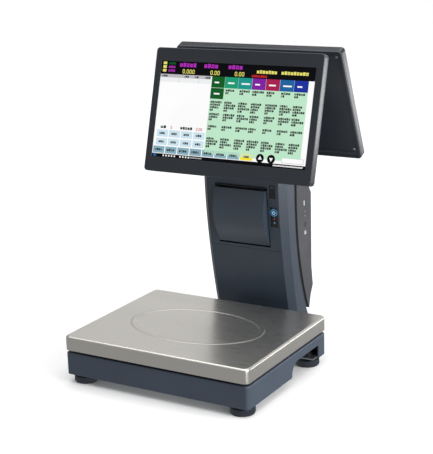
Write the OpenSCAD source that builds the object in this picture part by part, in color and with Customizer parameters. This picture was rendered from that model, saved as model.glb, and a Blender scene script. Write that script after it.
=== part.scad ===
// Retail price scale: a stainless weighing platter on a low moulded base, a curved column behind
// it with a label printer, and two large tilting displays back to back above the column.
// +Z is up, -Y is the operator's side. The origin is under the middle of the whole scale.

/* [Platter] */
// Width of the weighing platter
platter_w = 398; // [360:1:470]
// Depth of the weighing platter
platter_d = 321; // [290:1:376]
// Height of the weighing surface above the counter
platter_top_z = 95; // [92:1:114]
// Depth of the platter's turned-down skirt
platter_skirt = 27.5; // [15:0.5:28]
// Thickness of the stainless sheet
platter_sheet = 1.2; // [0.8:0.1:2]
// Corner radius of the platter
platter_corner = 12; // [8:1:20]
// Radius pressed round the platter's top edge
platter_edge = 4; // [2:0.5:6]
// Width of the oval bead pressed into the platter
oval_w = 269; // [200:1:320]
// Depth of the oval bead pressed into the platter
oval_d = 175; // [140:1:240]
// Width of the bead itself
bead_w = 5; // [3:0.5:8]
// Height of the bead
bead_h = 0.8; // [0.4:0.1:1.5]

/* [Base] */
// Width of the base housing
base_w = 397; // [360:1:468]
// Depth of the base housing
base_d = 315; // [290:1:370]
// Height of the base housing's lower edge
base_bottom_z = 18; // [16:0.5:22]
// Height of the base housing's top
base_top_z = 62; // [58:1:62]
// Wall of the base housing
base_wall = 3; // [2:0.5:4]
// Corner radius of the base housing
base_corner = 8; // [8:1:20]
// Height of the side arch above the counter
arch_top_z = 45; // [36:1:50]
// Thickness of the steel chassis plate
chassis_t = 2.5; // [2:0.5:4]

/* [Feet] */
// Radius of a levelling foot's disc
foot_r = 23.5; // [16:0.5:25]
// Height of a foot's disc with its pad
foot_h = 13; // [10:0.5:14]
// Radius of the foot's threaded stud
stud_r = 5; // [4:0.5:6]
// Running clearance of the stud in its nut
stud_gap = 0.06; // [0.03:0.01:0.09]
// How far the foot centres stand in from the base's side edges
foot_inset_x = 27; // [22:1:30]
// How far the foot centres stand in from the base's front and rear edges
foot_inset_y = 27; // [20:1:30]

/* [Column] */
// Width of the column
column_w = 190; // [180:1:228]
// Width of the chamfer down the column's front edges
column_chamfer = 13; // [8:1:13]
// Wall of the column's shells
column_wall = 3; // [2:0.5:3]
// Height of the column's front shell
column_top_z = 346; // [345:1:352]
// Height of the rear housing's top
housing_top_z = 330; // [326:1:334]
// How far the column's foot sweeps back from its top
column_sweep = 45; // [38:1:50]
// Width of the dark gap between front shell and rear housing
trim_gap = 12; // [6:0.5:16]

/* [Printer] */
// Width of the printer door
door_w = 116; // [100:1:116]
// Height of the printer door
door_h = 116.2; // [110:0.1:118]
// How far the door bulges out of the column
door_bulge = 15.5; // [10:0.5:18]
// Gap round the printer door
door_gap = 1.4; // [0.4:0.1:1.8]
// Radius of a full paper roll
roll_r = 29; // [24:1:29]
// Width of the paper
paper_w = 80; // [58:1:82]
// Radius of the platen roller
platen_r = 6; // [5:0.5:6.5]

/* [Displays] */
// Width of a display
display_w = 374; // [350:1:430]
// Height of a display's bezel above the middle of the screen
display_up = 124; // [112:1:135]
// Height of a display's bezel below the middle of the screen
display_down = 126; // [112:1:135]
// Width of the lit screen
screen_w = 344.2; // [300:0.1:345]
// Height of the lit screen
screen_h = 193.6; // [170:0.1:200]
// Depth of a display from its face to the edge of its back cover
display_t = 20; // [18:0.5:23]
// Backward tilt of the front display
front_tilt = 16; // [10:1:20]
// Backward tilt of the rear display
rear_tilt = 23.5; // [16:0.5:25]
// Radius of the tilt hinge pins
tilt_pin_r = 4; // [3:0.5:4]
// Running clearance of a hinge pin in the display's hinge leaf
tilt_pin_gap = 0.05; // [0.03:0.01:0.09]

/* [Hidden] */

$fn = 48;
EPS = 0.01;
housing_blue = "#414951";
column_blue = "#363C44";
dark_trim = "#15181D";
warm_grey = "#58585A";
stainless = "#C5C4C1";
steel = "#9DA2A6";
zinc = "#B9BDC0";
black_plastic = "#1B2027";
rubber = "#1C1D1F";
white = "#F2F2F0";

// Places of the displays, measured from the middle of the platter
front_screen_y = 152.2;
front_screen_z = 482.7;
rear_screen_y = 324;
rear_screen_z = 490.5;

// The scale's own box, from the platter's front edge to the rear display's lower edge
front_y = -platter_d / 2;
back_y = rear_screen_y + display_down * sin(rear_tilt);
origin_y = -(front_y + back_y) / 2;

// Base and weighing gear
base_rear_y = base_d / 2;
chassis_z = base_bottom_z + 1;
chassis_top_z = chassis_z + chassis_t;
foot_x = base_w / 2 - foot_inset_x;
foot_y = base_d / 2 - foot_inset_y;
arm_foot_x = 46;
arm_foot_y = 300;
pad_t = 2;
pad_inset = 2;
nut_h = 6;
stud_top_z = chassis_top_z + nut_h + 7;
arm_stud_top_z = chassis_top_z + nut_h + 2;
nut_flats = 17;
cell_l = 150;
cell_w = 36;
cell_h = 24;
cell_end = 34;
cell_hole_r = 11;
cell_mount_h = 5;
cell_z = chassis_top_z + cell_mount_h;
cell_free_x = cell_l / 2 - cell_end / 2;
spider_z = base_top_z + 3;
spider_t = 10;
spider_pad_r = 9;
spider_pad_t = 3;
spider_x = platter_w / 2 - 46;
spider_y = platter_d / 2 - 42;
under_platter_z = platter_top_z - platter_sheet;
pad_z = under_platter_z - spider_pad_t;
stop_gap = 1.1;
stop_r = 5;
stop_x = 78;
stop_y = 70;
boss_r = 5;
screw_r = 2;
boss_x = 120;
boss_y = base_d / 2 - 24;
arch_front_y = 12;
arch_rear_y = 126;
arch_front_r = 24;
arch_rear_r = 4;

// Arm that carries the column behind the base
arm_w = 140;
arm_top_z = 33;
arm_wall = 2.5;
arm_rear_y = 324;
tongue_w = arm_w - 2 * arm_wall;

// Column profile, swept back towards its foot
column_x = column_w / 2;
face_top_y = 189;
sweep_top_z = 345;
sweep_h = 305;
strip_top_y = 233;
strip_sweep = 45;
strip_top_z = 330;
strip_h = 261;
column_bottom_z = arm_top_z;
housing_back_y = 320;
housing_bottom_z = 54;
housing_inset = 0.5;
housing_wall = 2.5;
housing_chamfer = 10;
trim_lap = 6;
ring_step = 20;
frame_y = 262;
frame_t = 3;
frame_w = 116;
frame_head_w = 96;
frame_top_z = 482;
frame_rear_y = frame_y + frame_t;
panel_bottom_z = 198.5;
panel_top_z = column_top_z - 0.5;
panel_w = column_w - 2 * column_chamfer - 2;
panel_t = 3;
panel_gap = 0.3;
panel_ledge = 5;

// Printer
door_x = -3;
door_bottom_z = 208.3;
door_top_z = door_bottom_z + door_h;
door_lip = 5;
door_wall = 2.5;
door_side = 2;
slot_h = 4;
tear_h = 2.4;
opening_top_z = door_top_z + slot_h + tear_h;
opening_bottom_z = door_bottom_z - 3.6;
hinge_z = door_bottom_z + 3.2;
hinge_r = 3.2;
hinge_ear_r = 2.6;
hinge_set_back = 4;
ear_reach = 3;
hinge_pin_r = 1.5;
hinge_gap = 0.05;
knuckle_w = 12;
knuckle_x = 38;
paper_x = -4;
bucket_w = 110;
bucket_wall = 2;
bucket_bottom_z = opening_bottom_z + 0.7;
bucket_top_z = opening_top_z - tear_h - 2;
roll_y = 229;
roll_z = 252;
core_r = 9;
spindle_r = 6;
spindle_gap = 0.06;
platen_y = 201;
platen_z = door_top_z - 12.5;
platen_shaft_r = 2;
platen_gap = 0.05;
head_gap = 0.4;

// Controls on the column's right
bezel_x = 69.5;
bezel_w = 17;
bezel_low_z = 250;
bezel_high_z = 292;
bezel_sink = 1;
bezel_t = 2;
button_z = 280.5;
ring_r = 7.5;
button_r = 5.8;
button_gap = 0.08;
button_proud = 0.5;
button_l = 9;
lens_r = 1.6;
lens_z = [259.2, 267.7];
latch_x = 67.55;
latch_w = 13.9;
latch_h = 26;
latch_z = 324;
latch_gap = 0.4;
latch_sink = 2;
latch_l = 10;

// Electronics
board_y = 275.3;
board_t = 1.6;
board_face_y = board_y + board_t;
port_x = column_x - housing_inset - 0.5;
board_edge = port_x - 12;
usb_z = 283;
usb_wide = 13.4;
usb_high = 7;
usb_l = 14;
jack_y = 282;
jack_r = 1.8;
jack_zs = [221, 238.6];
lamp_zs = [256, 266];
inlet_x = -45;
inlet_z = 165;

// Head between the displays
head_wall = 3;
head_top_z = 492;
hinge_depth = 46;
hinge_drop = 5;
front_hinge_y = front_screen_y + hinge_depth * cos(front_tilt) - hinge_drop * sin(front_tilt);
front_hinge_z = front_screen_z - hinge_depth * sin(front_tilt) - hinge_drop * cos(front_tilt);
rear_hinge_y = rear_screen_y - hinge_depth * cos(rear_tilt) + hinge_drop * sin(rear_tilt);
rear_hinge_z = rear_screen_z - hinge_depth * sin(rear_tilt) - hinge_drop * cos(rear_tilt);
bracket_x = 43;
bracket_t = 3;
ear_r = 9;
leaf_gap = 0.4;
leaf_r = 8;
leaf_w = 10;

// Inside a display
display_corner = 7;
bezel_lip = 1.5;
bezel_wall = 2.5;
bezel_depth = 14;
glass_t = 2.5;
lcd_t = 8;
cover_wall = 2.5;
bulge_w = 180;
bulge_low = -80;
bulge_high = 70;
bulge_depth = 30;

// Front face of the column at height z
function face_y(z) = face_top_y + column_sweep * pow(max(0, sweep_top_z - z) / sweep_h, 1.7);
// Rear edge of the column's side strips at height z
function strip_y(z) = strip_top_y + strip_sweep * pow(max(0, strip_top_z - z) / strip_h, 2.45);
// Back of the rear housing at height z
function housing_y(z) = lookup(z, [[54, 300], [60, 308], [75, 308], [88, 326], [114, 326],
    [126, housing_back_y], [300, housing_back_y], [314, 311], [334, 296]]);
// Chamfer down the rear housing's back edges at height z
function housing_cut(z) = min(housing_chamfer, 0.6 * (housing_y(z) - strip_y(z) - trim_gap));
// Heights from low to high, with every multiple of ring_step between them
function heights(low, high) = concat([low],
    [for (k = [floor(low / ring_step) + 1 : ceil(high / ring_step) - 1]) k * ring_step], [high]);
// How far the door stands out of the column's face at height z
function door_out(z) = let (t = (z - door_bottom_z) / door_h) door_lip * t + door_bulge * sin(180 * t);
// A strip in the Y-Z plane that follows the column's face between two depths
function face_strip(low, high, near, far) = let (zs = heights(low, high), n = len(zs) - 1)
    concat([for (z = zs) [face_y(z) + near, z]], [for (i = [n : -1 : 0]) [face_y(zs[i]) + far, zs[i]]]);

// Moves a piece from the platter's middle to the scale's own origin
module placed() {
    translate([0, origin_y, 0]) children();
}

// A plate with round vertical corners, centred on the Z axis
module rounded_plate(w, d, h, r) {
    translate([-w / 2 + r, -d / 2, 0]) cube([w - 2 * r, d, h]);
    translate([-w / 2, -d / 2 + r, 0]) cube([w, d - 2 * r, h]);
    for (x = [-1, 1], y = [-1, 1])
        translate([x * (w / 2 - r), y * (d / 2 - r), 0]) cylinder(h = h, r = r);
}

// Section of a block whose two top edges are rounded
module rounded_section(w, h, f) {
    translate([-w / 2, 0]) square([w, h - f]);
    translate([-w / 2 + f, 0]) square([w - 2 * f, h]);
    for (x = [-1, 1]) translate([x * (w / 2 - f), h - f]) circle(r = f);
}

// A block with round vertical corners and a rounded top edge, centred on the Z axis
module rounded_block(w, d, h, r, f) {
    rotate([90, 0, 0]) translate([0, 0, -d / 2 + r]) linear_extrude(d - 2 * r) rounded_section(w, h, f);
    rotate([90, 0, 90]) translate([0, 0, -w / 2 + r]) linear_extrude(w - 2 * r) rounded_section(d, h, f);
    for (x = [-1, 1], y = [-1, 1])
        translate([x * (w / 2 - r), y * (d / 2 - r), 0]) rotate_extrude() {
            square([r, h - f]);
            square([r - f, h]);
            intersection() {
                translate([r - f, h - f]) circle(r = f);
                square([r, h]);
            }
        }
}

// A shape drawn in Y and Z, stretched along X
module across(x0, x1) {
    translate([x0, 0, 0]) rotate([90, 0, 90]) linear_extrude(x1 - x0) children();
}

// A closed solid through rings of equal length, from the lowest up
module loft(rings) {
    n = len(rings[0]);
    m = len(rings);
    sides = [for (k = [0 : m - 2], i = [0 : n - 1])
        [k * n + i, (k + 1) * n + i, (k + 1) * n + (i + 1) % n, k * n + (i + 1) % n]];
    polyhedron([for (ring = rings) each ring],
        concat([[for (i = [0 : n - 1]) i]], sides, [[for (i = [n - 1 : -1 : 0]) (m - 1) * n + i]]));
}

// The solid column between two heights, drawn in by an inset all round but the back
module column_solid(low, high, inset, back) {
    x = column_x - inset;
    c = column_chamfer;
    loft([for (z = heights(low, high)) let (f = face_y(z) + inset, b = strip_y(z) + back)
        [[-x, b, z], [-x, f + c, z], [-x + c, f, z], [x - c, f, z], [x, f + c, z], [x, b, z]]]);
}

// The solid rear housing, drawn in by an inset at the sides and back
module housing_solid(low, high, inset, front) {
    x = column_x - housing_inset - inset;
    loft([for (z = heights(low, high))
        let (f = strip_y(z) + front, b = housing_y(z) - inset, c = housing_cut(z))
        [[-x, f, z], [x, f, z], [x, b - c, z], [x - c, b, z], [-x + c, b, z], [-x, b - c, z]]]);
}

// A knurled disc seen from above
module knurled(r, teeth) {
    polygon([for (i = [0 : 2 * teeth - 1]) let (a = 180 * i / teeth, k = r - (i % 2) * 0.9)
        [k * cos(a), k * sin(a)]]);
}

// Base housing: skirt, top and screw bosses, with an arch cut up into each side
module base_housing() {
    h = base_top_z - base_bottom_z;
    color(housing_blue) placed() difference() {
        union() {
            difference() {
                translate([0, 0, base_bottom_z]) rounded_block(base_w, base_d, h, base_corner, 3);
                translate([0, 0, base_bottom_z - 1]) rounded_plate(base_w - 2 * base_wall,
                    base_d - 2 * base_wall, h + 1 - base_wall, base_corner - base_wall);
            }
            for (x = [-1, 1], y = [-1, 1])
                translate([x * boss_x, y * boss_y, chassis_top_z])
                    cylinder(h = base_top_z - 1 - chassis_top_z, r = boss_r);
        }
        for (x = [-1, 1], y = [-1, 1]) {
            translate([x * boss_x, y * boss_y, chassis_top_z - 1]) cylinder(h = 14, r = screw_r);
            translate([x * stop_x, y * stop_y, base_top_z - 10]) cylinder(h = 20, r = stop_r + 1);
        }
        translate([cell_free_x - 25, -30, base_top_z - 10]) cube([50, 60, 20]);
        translate([-tongue_w / 2, base_rear_y - 10, base_bottom_z - 1])
            cube([tongue_w, 20, 1 + chassis_top_z - base_bottom_z + 2]);
        for (x = [-base_w / 2 - 1, base_w / 2 - base_wall - 1]) across(x, x + base_wall + 2) arch();
    }
}

// Outline of the side arch
module arch() {
    h = arch_top_z - base_bottom_z + 2;
    translate([arch_front_y + arch_front_r, base_bottom_z - 2])
        square([arch_rear_y - arch_front_y - arch_front_r - arch_rear_r, h]);
    translate([arch_front_y, base_bottom_z - 2])
        square([arch_rear_y - arch_front_y, h - arch_front_r]);
    translate([arch_rear_y - arch_rear_r - 1, base_bottom_z - 2])
        square([arch_rear_r + 1, h - arch_rear_r]);
    translate([arch_front_y + arch_front_r, arch_top_z - arch_front_r]) circle(r = arch_front_r);
    translate([arch_rear_y - arch_rear_r, arch_top_z - arch_rear_r]) circle(r = arch_rear_r);
}

// Steel chassis plate inside the base, with a tongue that carries the column
module chassis_plate() {
    w = base_w - 2 * base_wall;
    d = base_d - 2 * base_wall;
    notch = 34;
    color(steel) placed() difference() {
        union() {
            translate([0, 0, chassis_z]) rounded_plate(w, d, chassis_t, base_corner - base_wall);
            translate([-tongue_w / 2, 0, chassis_z])
                cube([tongue_w, arm_rear_y - arm_wall, chassis_t]);
        }
        for (x = [-w / 2 - 1, w / 2 - notch])
            translate([x, arch_front_y, chassis_z - 1])
                cube([notch + 1, foot_y - foot_r - arch_front_y, chassis_t + 2]);
        for (x = [-1, 1], y = [-1, 1]) {
            translate([x * foot_x, y * foot_y, chassis_z - 1])
                cylinder(h = chassis_t + 2, r = stud_r + stud_gap);
            translate([x * boss_x, y * boss_y, chassis_z - 1]) cylinder(h = chassis_t + 2, r = screw_r);
        }
        for (x = [-1, 1])
            translate([x * arm_foot_x, arm_foot_y, chassis_z - 1])
                cylinder(h = chassis_t + 2, r = stud_r + stud_gap);
    }
}

// Aluminium load cell with its pair of joined holes
module load_cell() {
    color("#C9CCCE") placed() translate([0, 0, cell_z]) difference() {
        translate([-cell_l / 2, -cell_w / 2, 0]) cube([cell_l, cell_w, cell_h]);
        translate([-16, -cell_w / 2 - 1, cell_h / 2 - 3]) cube([32, cell_w + 2, 6]);
        for (x = [-16, 16])
            translate([x, cell_w / 2 + 1, cell_h / 2]) rotate([90, 0, 0])
                cylinder(h = cell_w + 2, r = cell_hole_r - 2);
    }
}

// Steel block that lifts the load cell's fixed end off the chassis
module load_cell_mount() {
    color(steel) placed() translate([-cell_l / 2, -cell_w / 2, chassis_top_z])
        cube([cell_end, cell_w, cell_mount_h]);
}

// Block between the load cell's free end and the spider
module cell_spacer() {
    z = cell_z + cell_h;
    color(steel) placed() translate([cell_free_x - cell_end / 2, -cell_w / 2, z])
        cube([cell_end, cell_w, spider_z - z]);
}

// Cast spider that carries the platter on four corner posts
module spider() {
    arm_w0 = 22;
    hub_d = 96;
    color("#B4B6B8") placed() {
        translate([-cell_l / 2, -hub_d / 2, spider_z]) cube([cell_l + 10, hub_d, spider_t]);
        for (y = [-1, 1])
            translate([-spider_x, y * (hub_d / 2 - arm_w0 / 2) - arm_w0 / 2, spider_z])
                cube([2 * spider_x, arm_w0, spider_t]);
        for (x = [-1, 1])
            translate([x * spider_x - arm_w0 / 2, -spider_y, spider_z])
                cube([arm_w0, 2 * spider_y, spider_t]);
        for (x = [-1, 1], y = [-1, 1])
            translate([x * spider_x, y * spider_y, spider_z])
                cylinder(h = pad_z - spider_z, r = spider_pad_r + 2);
    }
}

// Rubber buttons that the platter rests on
module spider_pads() {
    color(rubber) placed() for (x = [-1, 1], y = [-1, 1])
        translate([x * spider_x, y * spider_y, pad_z]) cylinder(h = spider_pad_t, r = spider_pad_r);
}

// Four stop screws that catch the spider when the scale is overloaded
module overload_stops() {
    color(zinc) placed() for (x = [-1, 1], y = [-1, 1])
        translate([x * stop_x, y * stop_y, chassis_top_z])
            cylinder(h = spider_z - stop_gap - chassis_top_z, r = stop_r);
}

// Stainless platter with a pressed oval bead
module platter() {
    z = platter_top_z - platter_skirt;
    in = 2 * platter_sheet;
    steps = 72;
    color(stainless) placed() {
        difference() {
            translate([0, 0, z])
                rounded_block(platter_w, platter_d, platter_skirt, platter_corner, platter_edge);
            translate([0, 0, z - 1]) rounded_plate(platter_w - in, platter_d - in,
                platter_skirt + 1 - platter_sheet, platter_corner - platter_sheet);
        }
        translate([0, 0, platter_top_z - EPS]) linear_extrude(bead_h + EPS) difference() {
            ellipse(oval_w + bead_w, oval_d + bead_w, steps);
            ellipse(oval_w - bead_w, oval_d - bead_w, steps);
        }
    }
}

// An ellipse of the given width and depth
module ellipse(w, d, steps) {
    polygon([for (i = [0 : steps - 1]) let (a = 360 * i / steps) [w / 2 * cos(a), d / 2 * sin(a)]]);
}

// A levelling foot: knurled disc and threaded stud in one piece
module foot(x, y, top_z) {
    color(black_plastic) placed() translate([x, y, 0]) {
        translate([0, 0, pad_t]) linear_extrude(foot_h - pad_t) knurled(foot_r, 40);
        translate([0, 0, foot_h - 1]) cylinder(h = top_z - foot_h + 1, r = stud_r);
    }
}
module foot_front_left() { foot(-foot_x, -foot_y, stud_top_z); }
module foot_front_right() { foot(foot_x, -foot_y, stud_top_z); }
module foot_rear_left() { foot(-foot_x, foot_y, stud_top_z); }
module foot_rear_right() { foot(foot_x, foot_y, stud_top_z); }
module foot_arm_left() { foot(-arm_foot_x, arm_foot_y, arm_stud_top_z); }
module foot_arm_right() { foot(arm_foot_x, arm_foot_y, arm_stud_top_z); }

// The rubber pad under a levelling foot
module foot_pad(x, y) {
    color(rubber) placed() translate([x, y, 0]) cylinder(h = pad_t, r = foot_r - pad_inset);
}
module pad_front_left() { foot_pad(-foot_x, -foot_y); }
module pad_front_right() { foot_pad(foot_x, -foot_y); }
module pad_rear_left() { foot_pad(-foot_x, foot_y); }
module pad_rear_right() { foot_pad(foot_x, foot_y); }
module pad_arm_left() { foot_pad(-arm_foot_x, arm_foot_y); }
module pad_arm_right() { foot_pad(arm_foot_x, arm_foot_y); }

// A hexagonal nut that the foot's stud turns in
module foot_nut(x, y) {
    translate([x, y, chassis_top_z]) difference() {
        cylinder(h = nut_h, r = nut_flats / sqrt(3), $fn = 6);
        translate([0, 0, -1]) cylinder(h = nut_h + 2, r = stud_r + stud_gap);
    }
}

// The six nuts welded to the chassis
module foot_nuts() {
    color(zinc) placed() {
        for (x = [-1, 1], y = [-1, 1]) foot_nut(x * foot_x, y * foot_y);
        for (x = [-1, 1]) foot_nut(x * arm_foot_x, arm_foot_y);
    }
}

// Screws that hold the chassis up to the base housing's bosses
module chassis_screws() {
    color(zinc) placed() for (x = [-1, 1], y = [-1, 1])
        translate([x * boss_x, y * boss_y, chassis_z]) {
            translate([0, 0, -1.6]) cylinder(h = 1.6, r = 2 * screw_r);
            translate([0, 0, -0.5]) cylinder(h = 12, r = screw_r);
        }
}

// Moulded cover over the chassis tongue
module rear_arm() {
    h = arm_top_z - base_bottom_z;
    l = arm_rear_y - base_rear_y;
    color(housing_blue) placed() difference() {
        translate([-arm_w / 2, base_rear_y, base_bottom_z]) cube([arm_w, l, h]);
        translate([-tongue_w / 2, base_rear_y - 1, base_bottom_z - 1])
            cube([tongue_w, l + 1 - arm_wall, h + 1 - arm_wall]);
        translate([-frame_w / 2, frame_y, base_bottom_z]) cube([frame_w, frame_t, h + 1]);
    }
}

// Steel frame that stands on the tongue and carries printer, board and head
module column_frame() {
    foot_l = 20;
    color(steel) placed() {
        translate([-frame_w / 2, frame_y, chassis_top_z])
            cube([frame_w, frame_t, housing_top_z - chassis_top_z]);
        translate([-frame_head_w / 2, frame_y, chassis_top_z])
            cube([frame_head_w, frame_t, frame_top_z - chassis_top_z]);
        translate([-frame_w / 2, frame_y - foot_l, chassis_top_z]) cube([frame_w, foot_l + 1, frame_t]);
    }
}

// Column front shell: front and sides, open at the back
module column_shell() {
    low = column_bottom_z;
    t = column_wall;
    color(column_blue) placed() difference() {
        column_solid(low, column_top_z, 0, 0);
        column_solid(low + t, column_top_z + 1, t, -t);
        column_solid(housing_bottom_z + 3, column_top_z + 2, t, 2);
        translate([-frame_w / 2 - 1, frame_y - 2, low - 1]) cube([frame_w + 2, frame_t + 4, t + 2]);
        across(-panel_w / 2 - panel_gap, panel_w / 2 + panel_gap)
            polygon(face_strip(panel_bottom_z - panel_gap, column_top_z + 1, -2, panel_t));
        across(-panel_w / 2 + panel_ledge, panel_w / 2 - panel_ledge)
            polygon(face_strip(panel_bottom_z + panel_ledge, column_top_z + 1, -2, panel_t + 20));
    }
}

// Dark bands that close the gap between the column shell and the rear housing
module column_trim() {
    band = 2.5;
    outer = column_x - column_wall;
    zs = heights(housing_bottom_z + 3, housing_top_z - housing_wall);
    color(dark_trim) placed() for (side = [0, 1]) mirror([side, 0, 0])
        loft([for (z = zs) let (f = strip_y(z) - trim_lap,
            b = min(strip_y(z) + trim_gap + trim_lap, housing_y(z) - housing_cut(z) - housing_wall))
            [[outer - band, f, z], [outer, f, z], [outer, b, z], [outer - band, b, z]]]);
}

// Rear housing with its port openings, inlet opening and vents
module rear_housing() {
    t = housing_wall;
    color(warm_grey) placed() difference() {
        housing_solid(housing_bottom_z, housing_top_z, 0, trim_gap);
        housing_solid(housing_bottom_z + t, housing_top_z - t, t, -30);
        translate([-frame_w / 2 - 1, frame_y - 1, housing_top_z - 2 * t])
            cube([frame_w + 2, frame_t + 2, 3 * t]);
        translate([column_x - 10, board_face_y - 0.3, usb_z - usb_wide / 2 - 0.4])
            cube([20, usb_high + 0.6, usb_wide + 0.8]);
        for (z = jack_zs) translate([column_x - 10, jack_y, z]) rotate([0, 90, 0]) cylinder(h = 20, r = 3.4);
        for (z = lamp_zs) translate([column_x - 10, jack_y, z]) rotate([0, 90, 0]) cylinder(h = 20, r = 1.2);
        translate([inlet_x - 14, housing_back_y - 10, inlet_z - 10.3]) cube([28, 20, 20.6]);
        for (z = [210 : 9 : 282])
            translate([-35, housing_back_y - 10, z]) cube([70, 20, 3.5]);
    }
}

// Removable front panel with the openings for door, latch and controls
module printer_panel() {
    color(column_blue) placed() difference() {
        across(-panel_w / 2, panel_w / 2) polygon(face_strip(panel_bottom_z, panel_top_z, 0, panel_t));
        translate([door_x - door_w / 2 - door_gap, face_top_y - 20, opening_bottom_z])
            cube([door_w + 2 * door_gap, 60, opening_top_z - opening_bottom_z]);
        translate([bezel_x - bezel_w / 2, face_top_y - 20, bezel_low_z])
            cube([bezel_w, 60, bezel_high_z - bezel_low_z]);
        translate([latch_x - latch_w / 2 - latch_gap, face_top_y - 20, latch_z - latch_h / 2 - latch_gap])
            cube([latch_w + 2 * latch_gap, 60, latch_h + 2 * latch_gap]);
    }
}

// Open bucket that holds the paper roll and the door's hinge pin
module printer_bucket() {
    h = bucket_top_z - bucket_bottom_z;
    x0 = door_x - bucket_w / 2;
    wall = bucket_wall;
    front = hinge_y() + ear_reach;
    color(black_plastic) placed() difference() {
        union() {
            difference() {
                translate([x0, front, bucket_bottom_z]) cube([bucket_w, frame_y - front, h]);
                translate([x0 + wall, front - 1, bucket_bottom_z + wall])
                    cube([bucket_w - 2 * wall, frame_y - front + 1 - wall, h - 2 * wall]);
            }
            for (x = [x0, x0 + bucket_w - wall]) {
                translate([x, hinge_y(), hinge_z]) rotate([0, 90, 0]) cylinder(h = wall, r = hinge_ear_r);
                translate([x, hinge_y(), hinge_z - 2]) cube([wall, ear_reach + 1, 2 + hinge_ear_r]);
            }
        }
        translate([x0 - 1, hinge_y(), hinge_z]) rotate([0, 90, 0])
            cylinder(h = bucket_w + 2, r = hinge_pin_r);
        translate([x0 - 1, roll_y, roll_z]) rotate([0, 90, 0]) cylinder(h = bucket_w + 2, r = spindle_r);
    }
}

// Depth of the door's hinge axis, just behind its lower edge
function hinge_y() = face_y(door_bottom_z) + hinge_set_back;

// Steel rod across the bucket that the paper roll turns on
module paper_spindle() {
    color(zinc) placed() translate([door_x - bucket_w / 2, roll_y, roll_z]) rotate([0, 90, 0])
        cylinder(h = bucket_w, r = spindle_r);
}

// A tube along X, centred on the paper
module paper_tube(outer, inner) {
    placed() translate([paper_x - paper_w / 2, roll_y, roll_z]) rotate([0, 90, 0]) difference() {
        cylinder(h = paper_w, r = outer);
        translate([0, 0, -1]) cylinder(h = paper_w + 2, r = inner);
    }
}
module paper_roll() { color(white) paper_tube(roll_r, core_r); }
module paper_core() { color("#B79A6E") paper_tube(core_r, spindle_r + spindle_gap); }

// Thermal print head hung from the bucket's roof
module print_head() {
    y = platen_y + platen_r + head_gap;
    z = bucket_top_z - bucket_wall;
    color("#6F7478") placed() {
        translate([paper_x - paper_w / 2 - 2, y, platen_z - 9]) cube([paper_w + 4, 3, z - platen_z + 9]);
        translate([paper_x - paper_w / 2 - 2, y, z - 4]) cube([paper_w + 4, 16, 4]);
    }
}

// Tear bar above the paper slot
module tear_bar() {
    z = opening_top_z - tear_h;
    color("#8E9296") placed() translate([door_x - door_w / 2, face_y(z) - door_lip, z])
        cube([door_w, door_lip + panel_t, tear_h]);
}

// Pin that the printer door swings on
module door_pin() {
    color(zinc) placed() translate([door_x - bucket_w / 2, hinge_y(), hinge_z]) rotate([0, 90, 0])
        cylinder(h = bucket_w, r = hinge_pin_r);
}

// Side view of the door's outer bulge, set in by an inset
module door_side_view(inset) {
    top = door_top_z - inset;
    low = door_bottom_z + inset;
    n = 14;
    zs = [for (i = [0 : n]) low + (top - low) * i / n];
    polygon(concat([for (z = zs) [face_y(z) - door_out(z) + inset, z]],
        [[face_y(top) + 1 + 4 * inset, top], [face_y(low) + 1 + 4 * inset, low]]));
}

// Printer door: hollow bulged shell with knuckles at its foot and arms for the platen roller
module printer_door() {
    x0 = door_x - door_w / 2;
    arm_t = 3;
    arm_x = paper_w / 2 + 3;
    arm_z = platen_z - 6;
    color("#3B4046") placed() difference() {
        union() {
            difference() {
                across(x0, x0 + door_w) door_side_view(0);
                across(x0 + door_side, x0 + door_w - door_side) door_side_view(door_wall);
            }
            for (x = [-knuckle_x - knuckle_w, knuckle_x]) {
                translate([door_x + x, hinge_y(), hinge_z]) rotate([0, 90, 0])
                    cylinder(h = knuckle_w, r = hinge_r);
                translate([door_x + x, face_y(hinge_z) - 0.5, hinge_z - 2]) cube([knuckle_w, 4.5, 4]);
            }
            for (x = [paper_x - arm_x - arm_t, paper_x + arm_x]) {
                translate([x, face_y(platen_z) - door_out(platen_z) + 1, arm_z])
                    cube([arm_t, platen_y - face_y(platen_z) + door_out(platen_z) - 1, 12]);
                translate([x, platen_y, platen_z]) rotate([0, 90, 0]) cylinder(h = arm_t, r = 5);
            }
        }
        translate([x0 - 1, hinge_y(), hinge_z]) rotate([0, 90, 0])
            cylinder(h = door_w + 2, r = hinge_pin_r + hinge_gap);
        translate([x0 + 5, platen_y, platen_z]) rotate([0, 90, 0])
            cylinder(h = door_w - 10, r = platen_shaft_r + platen_gap);
    }
}

// Rubber platen roller with its steel shaft, carried by the door
module platen_roller() {
    shaft = paper_w + 2 * (3 + 3) + 1;
    color(rubber) placed() translate([paper_x, platen_y, platen_z]) rotate([0, 90, 0]) {
        cylinder(h = paper_w + 2, r = platen_r, center = true);
        cylinder(h = shaft, r = platen_shaft_r, center = true);
    }
}

// Latch that frees the printer door, pressed inwards
module release_latch() {
    low = latch_z - latch_h / 2;
    color(black_plastic) placed() across(latch_x - latch_w / 2, latch_x + latch_w / 2)
        polygon(face_strip(low, low + latch_h, latch_sink, latch_sink + latch_l));
}

// Sunken strip that carries the power button and the two status lenses
module control_bezel() {
    color(black_plastic) placed() difference() {
        across(bezel_x - bezel_w / 2, bezel_x + bezel_w / 2)
            polygon(face_strip(bezel_low_z, bezel_high_z, bezel_sink, bezel_sink + bezel_t));
        translate([bezel_x, face_top_y - 20, button_z]) rotate([-90, 0, 0]) cylinder(h = 60, r = ring_r);
        for (z = lens_z)
            translate([bezel_x, face_top_y - 20, z]) rotate([-90, 0, 0]) cylinder(h = 60, r = lens_r);
    }
}

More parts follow.
